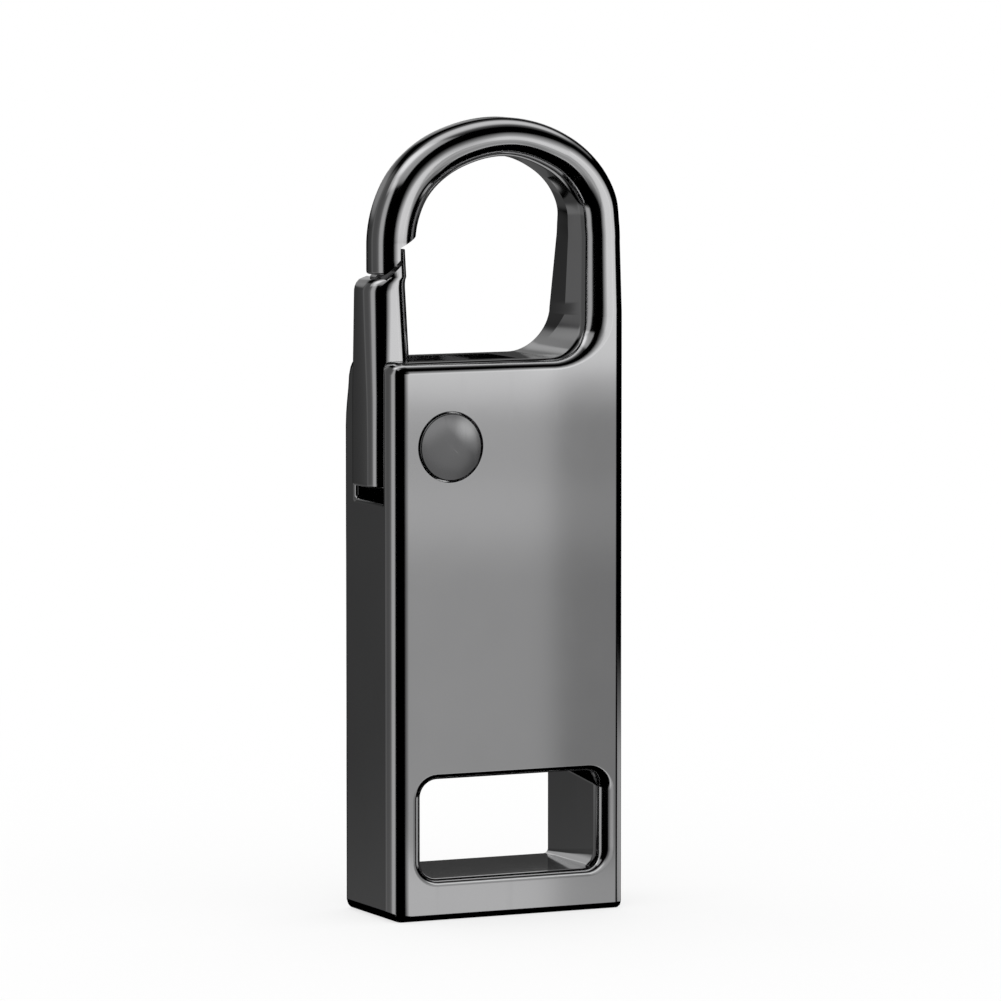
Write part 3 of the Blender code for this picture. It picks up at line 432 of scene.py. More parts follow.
blackPlastic = makePlastic("moulded black plastic", {
    "dark": (0.018, 0.018, 0.02), "light": (0.04, 0.04, 0.044), "rough": (0.38, 0.55),
    "smearScale": 400, "hairScale": 2000, "grainScale": 5000, "grain": 0.25})
boardGreen = makePlastic("green solder mask", {
    "dark": (0.012, 0.10, 0.04), "light": (0.03, 0.17, 0.07), "rough": (0.22, 0.36),
    "smearScale": 900, "hairScale": 2000, "grainScale": 7000, "grain": 0.12})
chipEpoxy = makePlastic("chip epoxy", {
    "dark": (0.012, 0.012, 0.012), "light": (0.03, 0.03, 0.03), "rough": (0.5, 0.7),
    "smearScale": 1400, "hairScale": 2000, "grainScale": 9000, "grain": 0.35})
ceramicTan = makePlastic("fired ceramic", {
    "dark": (0.36, 0.27, 0.18), "light": (0.52, 0.42, 0.30), "rough": (0.4, 0.55),
    "smearScale": 1800, "hairScale": 2000, "grainScale": 9000, "grain": 0.25})
print("finishes ready")


# body casting

casting = {
    "left": -9.25, "right": 9.75, "front": -4.6, "back": 4.6, "floor": 41.3,
    "postInside": 6.8, "postTop": 44.3, "fillet": 2.9,
    "leanFrom": 40.1, "lean": 0.4,                       # the back leans forward above this height
    # rounded edges: front left, front right, back left, back right, foot, loop wall, loop floor, back of the loop
    "edge": 1.45, "rightEdge": 0.95, "backEdge": 0.95, "backRightEdge": 0.5, "foot": 0.5, "leftFoot": 0.8,
    "wallRim": 1.95, "floorRim": 0.85, "backRim": 0.6, "leftRim": 0.9, "roundSteps": 12,
    # the back left edge curves forward: heights, and how far at each
    "bendTo": -5.4, "bend": ((36.2, 0), (37.2, 0.08), (38.1, 0.19), (39.1, 0.36), (40.1, 0.64), (41.3, 0.7))}

hook = {
    "middle": 0.25, "centre": 49.8, "outer": 9.5,
    # angle, width, front, back of the bar
    "stations": ((0, 2.75, -4.6, 1.68), (30, 2.85, -4.6, 0.85), (60, 2.92, -4.55, 0.3),
                 (90, 2.89, -3.85, -0.04), (135, 3.32, -2.625, 1.025), (180, 3.43, -2.175, 1.675)),
    # angle and how far the outside leaves the circle: a squarer right shoulder, a flatter top
    "leave": ((0, -0.2), (10, -0.13), (20, 0.08), (32, 0.1), (45, 0.02), (60, -0.11), (90, -0.22), (108, -0.22),
              (125, -0.1), (145, 0.0), (160, -0.05), (180, -0.12)),
    "round": 1.75, "roundStart": 25, "roundEnd": 115, "steps": 120,
    "ridge": 0.22, "ridgeAt": 0.4, "ridgeSlope": 1.3, "ridgeEnd": (35, 75),   # parting line on the loop's wall
    "nose": 47.6, "noseRound": 0.22,
    "nosePath": ((-8.55, 47.6), (-7.5, 48.7), (-7.5, 49.6), (-5.5, 50.6))}


def curveThrough(rows, angle):
    # the columns of a table of (angle, values) on a smooth curve through its rows
    last = len(rows) - 1
    index = max(row for row in range(last) if rows[row][0] <= angle)
    low, high = rows[index], rows[index + 1]
    before, after = rows[max(index - 1, 0)], rows[min(index + 2, last)]
    span = high[0] - low[0]
    share = (angle - low[0]) / span
    values = []
    for column in range(1, len(low)):
        slopeLow = (high[column] - before[column]) / (high[0] - before[0]) * span
        slopeHigh = (after[column] - low[column]) / (after[0] - low[0]) * span
        rise = high[column] - low[column]
        curve = slopeLow + share * (3 * rise - 2 * slopeLow - slopeHigh)
        values.append(low[column] + share * (curve + share ** 2 * (slopeLow + slopeHigh - 2 * rise)))
    return values


def hookRing(angle, rise, shrink=0.0):
    c = casting
    width, front, back = curveThrough(hook["stations"], angle)
    leave = curveThrough(hook["leave"], angle)[0]
    front = max(front, c["front"])
    turn = radians(angle)
    if angle == 0:                                                # the post below the arch
        share = min(rise / (c["postTop"] - hook["centre"]), 1)
        back += (c["back"] - c["lean"] * (c["postTop"] - c["leanFrom"]) - back) * share
        width += (c["right"] - c["postInside"] - width) * share
        leave -= leave * share
    soft = smoothStep(angle, hook["roundStart"], hook["roundEnd"])
    radii = {edge: c[edge] + (hook["round"] - c[edge]) * soft
             for edge in ("backRightEdge", "backRim", "wallRim", "rightEdge")}
    fit = min(1, (width - 0.1) / (radii["wallRim"] + radii["rightEdge"]),
              (width - 0.1) / (radii["backRim"] + radii["backRightEdge"]),
              (back - front - 0.4) / (radii["wallRim"] + radii["backRim"]))
    ring = []
    for across, along, start, edge in ((1, 1, 0, "backRightEdge"), (-1, 1, 90, "backRim"),
                                       (-1, -1, 180, "wallRim"), (1, -1, 270, "rightEdge")):
        radius = radii[edge] * fit
        middleAcross = across * (width / 2 - radius)
        middleAlong = back - radius if along > 0 else front + radius
        points = [(middleAcross + (radius - shrink) * cos(sweep), middleAlong + (radius - shrink) * sin(sweep))
                  for sweep in (radians(start + 90 * step / c["roundSteps"]) for step in range(c["roundSteps"] + 1))]
        if edge == "wallRim":
            height = hook["ridge"] * (1 - smoothStep(angle, *hook["ridgeEnd"]))
            last = front + radius
            points.insert(0, (shrink - width / 2 - height, last + hook["ridgeAt"] * (back - radii["backRim"] * fit - last)))
        for toOutside, toBack in points:
            reach = hook["outer"] - width / 2 + leave + toOutside
            ring.append(Vector((hook["middle"] + reach * cos(turn), toBack, hook["centre"] + reach * sin(turn) + rise)))
    return ring


def castingRadius(middle, run):
    c = casting
    if middle.z < 0.02:
        return c["leftFoot"] if middle.x < c["left"] + 0.02 else c["foot"]
    if middle.z > c["postTop"] - 0.02:
        return 0
    onFront = abs(middle.y - c["front"]) < 0.02
    along = Vector(run).normalized()
    atLeft, atRight = abs(middle.x - c["left"]) < 0.02, abs(middle.x - c["right"]) < 0.02
    if atLeft or atRight:
        if abs(along.z) > 0.9:
            return c["edge" if atLeft else "rightEdge"] if onFront else c["backEdge" if atLeft else "backRightEdge"]
        return c["leftRim"] if atLeft and abs(middle.z - c["floor"]) < 0.02 else 0
    start = c["postInside"] - c["fillet"]
    onLoop = abs(middle.z - c["floor"]) < 0.02 or middle.x > start and middle.z > c["floor"]
    if not onLoop or abs(along.y) > 0.9:
        return 0
    if not onFront:
        return c["backRim"]
    share = smoothStep(middle.z - c["floor"] + middle.x - start, 0, 2 * c["fillet"]) if middle.x > start else 0
    return c["floorRim"] + (c["wallRim"] - c["floorRim"]) * share


def selectWhere(piece, wantsFace):
    # face select mode, with the faces picked by their middle and normal
    bpy.ops.mesh.select_mode(type="FACE")
    bpy.ops.mesh.select_all(action="DESELECT")
    work = bmesh.from_edit_mesh(piece.data)
    for face in work.faces:
        face.select_set(wantsFace(face.calc_center_median(), face.normal))
    bmesh.update_edit_mesh(piece.data)


def selectVerts(piece, wantsVert):
    bpy.ops.mesh.select_mode(type="VERT")
    bpy.ops.mesh.select_all(action="DESELECT")
    work = bmesh.from_edit_mesh(piece.data)
    for vert in work.verts:
        vert.select_set(wantsVert(vert.co))
    work.select_flush_mode()
    bmesh.update_edit_mesh(piece.data)


def selectEdges(piece, wantsEdge):
    bpy.ops.mesh.select_mode(type="EDGE")
    bpy.ops.mesh.select_all(action="DESELECT")
    work = bmesh.from_edit_mesh(piece.data)
    for edge in work.edges:
        edge.select_set(wantsEdge(edge.verts[0].co, edge.verts[1].co))
    bmesh.update_edit_mesh(piece.data)


def shapeBlock():
    c = casting
    block = startCube("body", (c["left"], c["front"], 0), (c["right"], c["back"], c["floor"]))
    bpy.ops.object.mode_set(mode="EDIT")
    bpy.ops.mesh.select_all(action="SELECT")
    bpy.ops.mesh.bisect(plane_co=(c["postInside"], 0, 0), plane_no=(1, 0, 0))
    selectWhere(block, lambda middle, normal: normal.z > 0.9 and middle.x > c["postInside"] and middle.z > 1)
    bpy.ops.mesh.extrude_region_move(TRANSFORM_OT_translate={"value": (0, 0, c["postTop"] - c["floor"])})
    bpy.ops.mesh.select_all(action="SELECT")
    bpy.ops.mesh.bisect(plane_co=(0, 0, c["leanFrom"]), plane_no=(0, 0, 1))
    for height in (c["floor"], c["postTop"]):                     # lean the back above the crease
        selectVerts(block, lambda place: place.y > 0 and abs(place.z - height) < 0.01)
        bpy.ops.transform.translate(value=(0, -c["lean"] * (height - c["leanFrom"]), 0))
    selectWhere(block, lambda middle, normal: normal.y > 0.7)
    bpy.ops.mesh.bisect(plane_co=(c["bendTo"], 0, 0), plane_no=(1, 0, 0))
    for height, push in c["bend"]:
        if height < c["leanFrom"] - 0.01:
            selectWhere(block, lambda middle, normal: normal.x < -0.9 or normal.y > 0.7 and middle.x < c["bendTo"])
            bpy.ops.mesh.bisect(plane_co=(0, 0, height), plane_no=(0, 0, 1))
        selectVerts(block, lambda place: place.y > 0 and place.x < c["left"] + 0.01 and abs(place.z - height) < 0.01)
        bpy.ops.transform.translate(value=(0, -push, 0))
    selectEdges(block, lambda a, b: all(abs(p.x - c["postInside"]) < 0.01 and abs(p.z - c["floor"]) < 0.01
                                        for p in (a, b)))
    bpy.ops.mesh.bevel(offset=c["fillet"], segments=16, affect="EDGES", clamp_overlap=False)
    bpy.ops.mesh.select_all(action="SELECT")
    bpy.ops.mesh.dissolve_limited(angle_limit=radians(0.05))
    bpy.ops.object.mode_set(mode="OBJECT")
    applyBevel(block, castingRadius, c["wallRim"], c["roundSteps"])
    return block


def creaseCorner(block):
    # the parting line leaves the loop's wall at the post's top and runs to the back through the corner
    c = casting
    ridge = hookRing(0, c["postTop"] - hook["centre"])[2 * (c["roundSteps"] + 1)]
    slope = hook["ridgeSlope"]
    makeActive(block)
    bpy.ops.object.mode_set(mode="EDIT")
    selectWhere(block, lambda middle, normal: middle.x > c["postInside"] - c["fillet"] and middle.x < c["right"] - 1
                and middle.z > c["floor"] and normal.x < -0.02 and abs(normal.y) < 0.02)
    bpy.ops.mesh.bisect(plane_co=ridge, plane_no=(0, 1, slope))
    work = bmesh.from_edit_mesh(block.data)
    work.normal_update()
    line = [vert for vert in work.verts if vert.select]
    for vert in line:
        share = smoothStep(vert.co.z, c["floor"] + 0.2, c["postTop"] - 0.3)
        for edge in vert.link_edges:
            if edge.other_vert(vert) in line:
                edge.smooth = False
        middle = Vector((c["postInside"] - c["fillet"], vert.co.y, c["floor"] + c["fillet"]))
        vert.co += (middle - vert.co).normalized() * hook["ridge"] * share
    bmesh.update_edit_mesh(block.data)
    bpy.ops.object.mode_set(mode="OBJECT")
    print("corner crease", len(line), "points")


def growHook(block):
    # the post's top goes on round the arch, ring by ring, and closes at the nose
    work = bmesh.new()
    work.from_mesh(block.data)
    top = casting["postTop"]
    cap = max((face for face in work.faces if abs(face.calc_center_median().z - top) < 0.01),
              key=lambda face: face.calc_area())
    first = hookRing(0, top - hook["centre"])
    ridge = 2 * (casting["roundSteps"] + 1)                       # place of the parting line in a ring
    spare = list(cap.verts)
    ordered = []
    for point in first:
        nearest = min(spare, key=lambda vert: (vert.co - point).length)
        spare.remove(nearest)
        ordered.append(nearest)
    print("post ring", len(ordered), "left over", len(spare))
    bmesh.ops.delete(work, geom=[cap], context="FACES_ONLY")
    rings = []
    for share in (0.06, 0.12, 0.18, 0.24, 0.4, 0.7):
        rings.append(hookRing(0, (top - hook["centre"]) * (1 - share)))
    for step in range(hook["steps"] + 1):
        rings.append(hookRing(180 * step / hook["steps"], 0))
    drop = hook["nose"] - hook["centre"]
    rings.append(hookRing(180, drop / 2))
    for step in range(5):                                         # rounded nose end
        sweep = pi / 2 * step / 4
        lift = hook["noseRound"] * (1 - sin(sweep))
        rings.append(hookRing(180, drop + lift, hook["noseRound"] * (1 - cos(sweep))))
    loops = [ordered] + [[work.verts.new(point) for point in ring] for ring in rings]
    skinRings(work, loops)
    for lower, upper in zip(loops[2:], loops[3:hook["steps"] // 3]):
        work.edges.get((lower[ridge], upper[ridge])).smooth = False
    work.faces.new(loops[-1])
    bmesh.ops.recalc_face_normals(work, faces=work.faces)
    work.to_mesh(block.data)
    work.free()


window = {"left": -6.8, "right": 7.65, "low": 3.1, "high": 10.5, "corner": 1.3, "backCorner": 0.35,
          # rounded rims in front: left, right, low, high; and behind
          "flares": (0.9, 1.2, 0.55, 0.45), "backFlare": 0.3, "steps": 14}


def windowTool():
    # rings from front to back; each side leaves its rim on an arc of its own radius
    w = window
    face = casting["back"]
    deepest = max(w["flares"])
    front = [(deepest * (1 - cos(pi / 2 * step / w["steps"])), w["flares"], w["corner"]) for step in range(w["steps"] + 1)]
    back = [(w["backFlare"] * (1 - cos(pi / 2 * step / w["steps"])), (w["backFlare"],) * 4, w["backCorner"])
            for step in range(w["steps"], -1, -1)]
    stations = [(-face - 0.3, *front[0])] + [(depth - face, depth, *rest) for depth, *rest in front]
    stations += [(face - depth, depth, *rest) for depth, *rest in back] + [(face + 0.3, *back[-1])]
    rings = []
    for y, depth, flares, corner in stations:
        left, right, low, high = (flare - sqrt(flare ** 2 - max(flare - depth, 0) ** 2) for flare in flares)
        loop = roundedCorners([
            (w["left"] - left, w["low"] - low, corner + (left + low) / 2),
            (w["right"] + right, w["low"] - low, corner + (right + low) / 2),
            (w["right"] + right, w["high"] + high, corner + (right + high) / 2),
            (w["left"] - left, w["high"] + high, corner + (left + high) / 2)], 10)
        rings.append([(x, y, z) for x, z in loop])
    return startLoft("window", rings)


slot = {"front": -2.7, "back": 2.2, "floor": 30.92, "wall": ((-3.25, 30.92), (-1.88, 35.65), (1.65, 40.7)),
        "lip": 0.34, "lipSteps": 4}


def slotTool():
    s = slot
    outline = [(-10.05, s["floor"]), *s["wall"], (1.65, 41.6), (-10.05, 41.6)]
    return startOutline("slot", outline, s["front"], s["back"])


def slotLipTool():
    # rounds the slot's edge where it breaks the left side
    s = slot
    left = casting["left"]
    rings = []
    for step in range(s["lipSteps"] + 1):
        sweep = pi / 2 * step / s["lipSteps"]
        flare = s["lip"] * (1 - sin(sweep))
        x = left + s["lip"] * (1 - cos(sweep))
        loop = roundedCorners([(s["front"] - flare, s["floor"] - flare, 0.3), (s["back"] + flare, s["floor"] - flare, 0.3),
                               (s["back"] + flare, 42, 0), (s["front"] - flare, 42, 0)], 6)
        rings.append([(x, y, z) for y, z in loop])
    rings.insert(0, [(left - 0.4, y, z) for _, y, z in rings[0]])
    return startLoft("slot lip", rings)


rivet = {"x": -4.58, "z": 35.05, "head": 2.5, "seat": 2.6, "sink": 0.4, "dome": 0.12, "edge": 0.14, "shank": 1.2,
         "cap": 1.6, "rimFlare": 0.05, "grooveFrom": 2.3, "groove": 0.9,
         "rubWay": (0.77, 0.64), "rubFrom": 0.7, "rubSlope": 0.09}
bay = {"left": -2.65, "right": 8.4, "floor": 12.15, "top": 37.8, "front": -2.65, "back": 2.65, "radius": 6.3,
       "lip": 8.55}
pivot = {"x": 3.65, "z": 31.5, "pin": 1.2, "fit": 0.15}
cover = {"seat": 3.2, "left": -5.85, "right": 8.55, "low": 11.65, "top": 39.9, "besideCap": -2.38, "belowCap": 31.35,
         "aboveCap": 36.65, "shoulder": 1.5, "ledge": 2.1, "corner": 0.6, "gap": 0.15, "ease": 0.14,
         "screws": ((-4.6, 13.4), (-4.6, 27.15), (2.4, 38.65), (7.3, 38.65))}


def coverOutline(gap):
    c = cover
    beside = c["besideCap"] + gap
    return roundedCorners([
        (c["left"] + gap, c["low"] + gap, c["corner"]), (c["right"] - gap, c["low"] + gap, c["corner"]),
        (c["right"] - gap, c["top"] - gap, c["corner"]), (beside + c["shoulder"], c["top"] - gap, c["corner"]),
        (beside, c["aboveCap"] - gap, c["corner"]), (beside, c["belowCap"] - gap + c["ledge"], c["corner"]),
        (c["left"] + gap, c["belowCap"] - gap, c["corner"])], 8)


def bayTool():
    b = bay
    outline = [(b["left"], b["floor"]), (b["right"], b["floor"]), (b["right"], b["top"])]
    for step in range(41):
        sweep = pi / 2 + pi / 2 * step / 40
        outline.append((pivot["x"] + b["radius"] * cos(sweep), pivot["z"] + b["radius"] * sin(sweep)))
    return startOutline("bay", outline, b["front"], cover["seat"] + 0.3)


def seatTool(name, front, toBack, radius, depth, flare):
    # round seat with a small rounded rim, cut from the face at y = front
    profile = [(0, 0.3), (radius + flare, 0.3), (radius + flare, 0)]
    for step in range(1, 6):
        sweep = pi / 2 * step / 5
        profile.append((radius + flare * (1 - sin(sweep)), -flare * (1 - cos(sweep))))
    profile.append((radius, -rivet["groove"]))
    profile += [(radius - rivet["seat"] + rivet["grooveFrom"], -rivet["groove"]),
                (radius - rivet["seat"] + rivet["grooveFrom"], -depth), (0, -depth)]
    return spinProfile(name, profile, rivet["x"], front, rivet["z"], toBack)


def buildBody():
    c = casting
    body = shapeBlock()
    creaseCorner(body)
    growHook(body)
    path = hook["nosePath"]
    noseCut = [*path, (path[-1][0], 44.0), (path[0][0], 44.0)]
    tools = [startOutline("nose cut", noseCut, -4.0, 4.0), windowTool(), slotTool(), slotLipTool(),
             startRod("rivet bore", rivet["shank"] + 0.15, -5, 5, rivet["x"], rivet["z"]),
             seatTool("head seat", c["front"], False, rivet["seat"], rivet["sink"], rivet["rimFlare"]),
             seatTool("cap seat", c["back"], True, rivet["cap"] + 0.15, rivet["sink"], rivet["rimFlare"]),
             bayTool(),
             startCube("side opening", (8.25, -2.5, 12.3), (10.05, 2.5, 37.65)),
             startRod("pin seat", pivot["pin"] + pivot["fit"], -3.65, 0, pivot["x"], pivot["z"])]
    for x, z in cover["screws"]:
        tools.append(startRod("screw hole", 0.6, 0.6, 3.5, x, z, 24))
    notch = startRod("thumb notch", 3.4, 0, 2.4, 0, 0, 96)
    notch.data.transform(Matrix.Translation((8.25, 6.3, 18.0)) @ Matrix.Rotation(-pi / 2, 4, "Z"))
    tools.append(notch)
    tools.append(startOutline("cover seat", coverOutline(0), cover["seat"], 4.9))
    for tool in tools:
        applyBoolean(body, tool)
    return finishPiece(body, "body_shell", "body", gunmetal, ["body_casting"])


buildBody()
print("body done")


# gate lever

gate = {
    "outside": -9.75, "inside": -6.35, "front": -2.4, "back": 1.9, "heel": 31.97, "top": 47.45, "corner": 1.1,
    "shoulder": 38.6, "tip": 49.65, "lean": 0.45, "taper": 0.04, "roundTop": 1.75, "roundHeel": 1.3, "roundBack": 0.5,
    "inner": 1.2, "innerBack": 0.25, "forkFrom": -6.65,
    "cutPath": ((-8.75, 47.45), (-8.486, 47.2), (-7.35, 48.3), (-7.35, 49.2), (-5.43, 50.15)),
    "hub": 2.4, "fork": (-1.7, 1.2), "levels": 60}


def gateRing(z, shrink=0.0):
    g = gate
    rise = max(z - g["shoulder"], 0)
    front = g["front"] + g["taper"] * rise + shrink
    back = g["back"] - g["taper"] * rise - shrink
    low = g["top"] - g["corner"]
    lift = min(max(z - low, 0), g["corner"])
    outside = g["outside"] + g["corner"] - sqrt(g["corner"] ** 2 - lift ** 2) + shrink
    inside = g["inside"] - g["lean"] * rise / (g["tip"] - g["shoulder"]) - shrink
    share = smoothStep(z, g["heel"] + 2, g["top"])
    outer = g["roundHeel"] + (g["roundTop"] - g["roundHeel"]) * share
    outer = min(outer, (inside - outside) * 0.6)
    corners = ((inside, back, g["innerBack"]), (outside, back, g["roundBack"]), (outside, front, outer),
               (inside, front, min(g["inner"], (inside - outside) * 0.4)))
    return [(x, y, z) for x, y in roundedCorners(corners, 10)]


def buildGate():
    g = gate
    rings = []
    for step in range(4):                                          # eased heel
        sweep = pi / 2 * step / 4
        rings.append(gateRing(g["heel"] + 0.15 * (1 - cos(sweep)), 0.15 * (1 - sin(sweep))))
    for step in range(g["levels"] + 1):
        rings.append(gateRing(g["heel"] + 0.15 + (g["top"] - g["heel"] - 0.15) * step / g["levels"]))
    rings.append(gateRing(g["tip"]))
    lever = startLoft("gate", rings)
    tip = [*g["cutPath"], (g["cutPath"][-1][0], 52), (-12, 52), (-12, g["cutPath"][0][1])]
    applyBoolean(lever, startOutline("tongue cut", tip, -4, 4))
    hub = [(-8.6, g["heel"] + 0.2)]
    for step in range(41):
        sweep = radians(-90 + 165 * step / 40)
        hub.append((rivet["x"] + g["hub"] * cos(sweep), rivet["z"] + g["hub"] * sin(sweep)))
    hub += [(g["inside"] - 0.02, g["shoulder"] - 0.02), (-8.6, g["shoulder"] - 0.02)]
    applyBoolean(lever, startOutline("hub", hub, g["front"] + 0.01, g["back"] - 0.01), "UNION")
    applyBoolean(lever, startRod("gate bore", rivet["shank"] + 0.15, -4, 4, rivet["x"], rivet["z"]))
    applyBoolean(lever, startCube("fork", (g["forkFrom"], g["fork"][0], 29), (-1, g["fork"][1], g["shoulder"])))
    return finishPiece(lever, "gate_arm", "gate", gunmetal, ["gate_lever"])


buildGate()
print("gate done")


# rivet and its cap

def headProfile(radius, shank, seat, length):
    r = rivet
    profile = []
    ease = 0.12
    for step in range(17):
        share = (radius - ease) / radius * step / 16
        profile.append((radius * share, r["edge"] + r["dome"] * (1 - share ** 4)))
    foot = profile[-1][1]
    for step in range(1, 7):
        sweep = pi / 2 * step / 6
        profile.append((radius - ease + ease * sin(sweep), foot - ease * (1 - cos(sweep))))
    profile += [(radius, -seat), (shank, -seat), (shank, -length), (0, -length)]
    return profile


def buildRivet():
    head = spinProfile("rivet", headProfile(rivet["head"], rivet["shank"], 0.25, 9.0), rivet["x"], casting["front"],
                       rivet["z"], False)
    # one side of the head is rubbed to a slight slant
    for vert in head.data.vertices:
        if vert.co.y < casting["front"]:
            across = (vert.co.x - rivet["x"]) * rivet["rubWay"][0] + (vert.co.z - rivet["z"]) * rivet["rubWay"][1]
            past = max(0, across - rivet["rubFrom"])
            vert.co.y += rivet["rubSlope"] * past * past / (past + 0.5)
    finishPiece(head, "rivet_head", "body", rivetWithPaintedGlint, ["gate_rivet"])
    back = spinProfile("cap", headProfile(rivet["cap"], 0, 0.25, 0.25)[:-2], rivet["x"], casting["back"], rivet["z"], True)
    applyBoolean(back, startRod("cap socket", 1.35, 4.2, 4.55, rivet["x"], rivet["z"]))
    finishPiece(back, "rivet_back_cap", "body", rivetSatin, ["rivet_cap"])


buildRivet()
print("rivet done")


# gate spring: one leg stays against the slot wall and, in the lock, the other turns with the gate; the wire is built at
# rest and joins no moving body
spring = {"wire": 0.175, "coil": 1.5, "pitch": 0.8, "turns": 2, "leg": 3.0, "middle": -0.25, "wall": (3.53, 5.05),
          "coilSteps": 100, "legSteps": 6, "sides": 14}


def buildSpring():
    s = spring
    run = Vector((s["wall"][0], 0, s["wall"][1])).normalized()
    first = atan2(-run.x, run.z)
    sweep = 2 * pi * s["turns"] + first + pi
    length = s["pitch"] * sweep / (2 * pi)
    hub = Vector((rivet["x"], s["middle"], rivet["z"]))
    coil = []
    for step in range(s["coilSteps"] + 1):
        share = step / s["coilSteps"]
        turned = first - sweep * share
        coil.append(hub + Vector((s["coil"] * cos(turned), length * (share - 0.5), s["coil"] * sin(turned))))
    legSteps = range(1, s["legSteps"] + 1)
    lead = [coil[0] + run * s["leg"] * step / s["legSteps"] for step in reversed(legSteps)]
    tail = [coil[-1] + Vector((0, 0, s["leg"] * step / s["legSteps"])) for step in legSteps]
    line = lead + coil + tail
    rings = []
    for index, point in enumerate(line):
        along = (line[min(index + 1, len(line) - 1)] - line[max(index - 1, 0)]).normalized()
        out = along.cross(Vector((0, 1, 0))).normalized()
        side = out.cross(along)
        rings.append([point + (out * cos(2 * pi * step / s["sides"]) + side * sin(2 * pi * step / s["sides"])) * s["wire"]
                      for step in range(s["sides"])])
    wire = startLoft("spring", rings)
    finishPiece(wire, "gate_coil", None, springSteel, ["gate_spring"])
    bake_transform(wire)


buildSpring()
print("spring done")


# back cover and the screws

screw = {"head": 0.8, "shank": 0.45, "thick": 0.425, "ease": 0.12, "socket": 0.4, "socketDeep": 0.21, "hole": 0.6,
         "seat": 0.95, "seatDeep": 0.65, "seatFlare": 0.08, "coverLength": 3.7, "armLength": 3.225, "below": 0.075}


def holeTool(name, x, y, z, radius, depth, flare):
    # round hole from the back face at y, with a small rounded rim
    profile = [(0, 0.3), (radius + flare, 0.3), (radius + flare, 0)]
    for step in range(1, 6):
        sweep = pi / 2 * step / 5
        profile.append((radius + flare * (1 - sin(sweep)), -flare * (1 - cos(sweep))))
    profile += [(radius, -depth), (0, -depth)]
    return spinProfile(name, profile, x, y, z, True, 64)


def buildScrew(name, x, y, z, length, body, node):
    s = screw
    profile = [(0, 0), (s["head"] - s["ease"], 0)]
    for step in range(1, 6):
        sweep = pi / 2 * step / 5
        profile.append((s["head"] - s["ease"] * (1 - sin(sweep)), -s["ease"] * (1 - cos(sweep))))
    profile += [(s["head"], -s["thick"]), (s["shank"], -s["thick"]), (s["shank"], -length), (0, -length)]
    bolt = spinProfile(name, profile, x, y, z, True, 64)
    applyBoolean(bolt, startRod("socket", s["socket"], y - s["socketDeep"], y + 0.3, x, z, 6))
    finishPiece(bolt, name, body, brightSteel, [node])


def buildCover():
    back = casting["back"]
    plate = startOutline("cover", coverOutline(cover["gap"]), cover["seat"] + cover["gap"], back)
    applyBevel(plate, lambda middle, run: cover["ease"] if middle.y > back - 0.01 else 0, cover["ease"], 5)
    applyBoolean(plate, holeTool("pin hole", pivot["x"], back, pivot["z"], pivot["pin"] + pivot["fit"], 2, cover["ease"]))
    for x, z in cover["screws"]:
        applyBoolean(plate, holeTool("head seat", x, back, z, screw["seat"], screw["seatDeep"], screw["seatFlare"]))
        applyBoolean(plate, startRod("screw hole", screw["hole"], 3, 5, x, z, 48))
    finishPiece(plate, "cover_plate", "body", gunmetal, ["back_cover"])
    for number, (x, z) in enumerate(cover["screws"], 1):
        buildScrew(f"cover_bolt_{number}", x, back - screw["below"], z, screw["coverLength"], "body",
                   f"cover_screw_{number}")


buildCover()
print("cover done")


# swing arm and plug

arm = {"half": 2.35, "split": 0.075, "radius": 6.0, "low": -5.9, "ease": 0.35, "inside": 0.08, "bore": 2.15,
       "socket": (5.3, 1.55, -6.2, -3.85), "screws": (-4.75, 4.75)}
plug = {"half": (6.0, 2.25), "tip": 13.45, "rear": 25.45, "round": 0.5, "mouth": 0.12, "wall": 0.35, "corner": 0.3,
        "neck": (5.15, 1.4, 24.95, 27.5), "hollowTop": 24.6, "throat": (4.8, 1.05),
        "holes": (-2.5, 2.5), "hole": (1.25, 18.45, 20.6, 0.3), "seam": (0.05, 0.12)}


def buildArm():
    a = arm
    x, z = pivot["x"], pivot["z"]
    outline = [(x - a["radius"], z + a["low"]), (x + a["radius"], z + a["low"])]
    for step in range(65):
        sweep = pi * step / 64
        outline.append((x + a["radius"] * cos(sweep), z + a["radius"] * sin(sweep)))
    halves = (("arm_front_half", -a["half"], -a["split"], "arm_front_shell"),
              ("arm_rear_half", a["split"], a["half"], "arm_rear_shell"))
    across, deep, low, high = a["socket"]
    for name, front, back, node in halves:
        shell = startOutline(name, outline, front, back)
        applyBevel(shell, lambda middle, run: 0 if abs(run.y) > 0.1 else a["ease"] if abs(middle.y) > 2 else a["inside"],
                   a["ease"], 6)
        applyBoolean(shell, startRod("bore", a["bore"], -5, 5, x, z))
        applyBoolean(shell, startCube("socket", (x - across, -deep, z + low), (x + across, deep, z + high)))
        for offset in a["screws"]:
            applyBoolean(shell, startRod("screw hole", screw["hole"], -a["half"] / 2, 5, x + offset, z, 48))
            if back > 1:
                applyBoolean(shell, holeTool("head seat", x + offset, a["half"], z, screw["seat"], screw["seatDeep"],
                                             screw["seatFlare"]))
        finishPiece(shell, name, "plug_arm", gunmetal, [node])
    for number, offset in enumerate(a["screws"], 1):
        buildScrew(f"arm_bolt_{number}", x + offset, a["half"] - screw["below"], z, screw["armLength"], "plug_arm",
                   f"arm_screw_{number}")


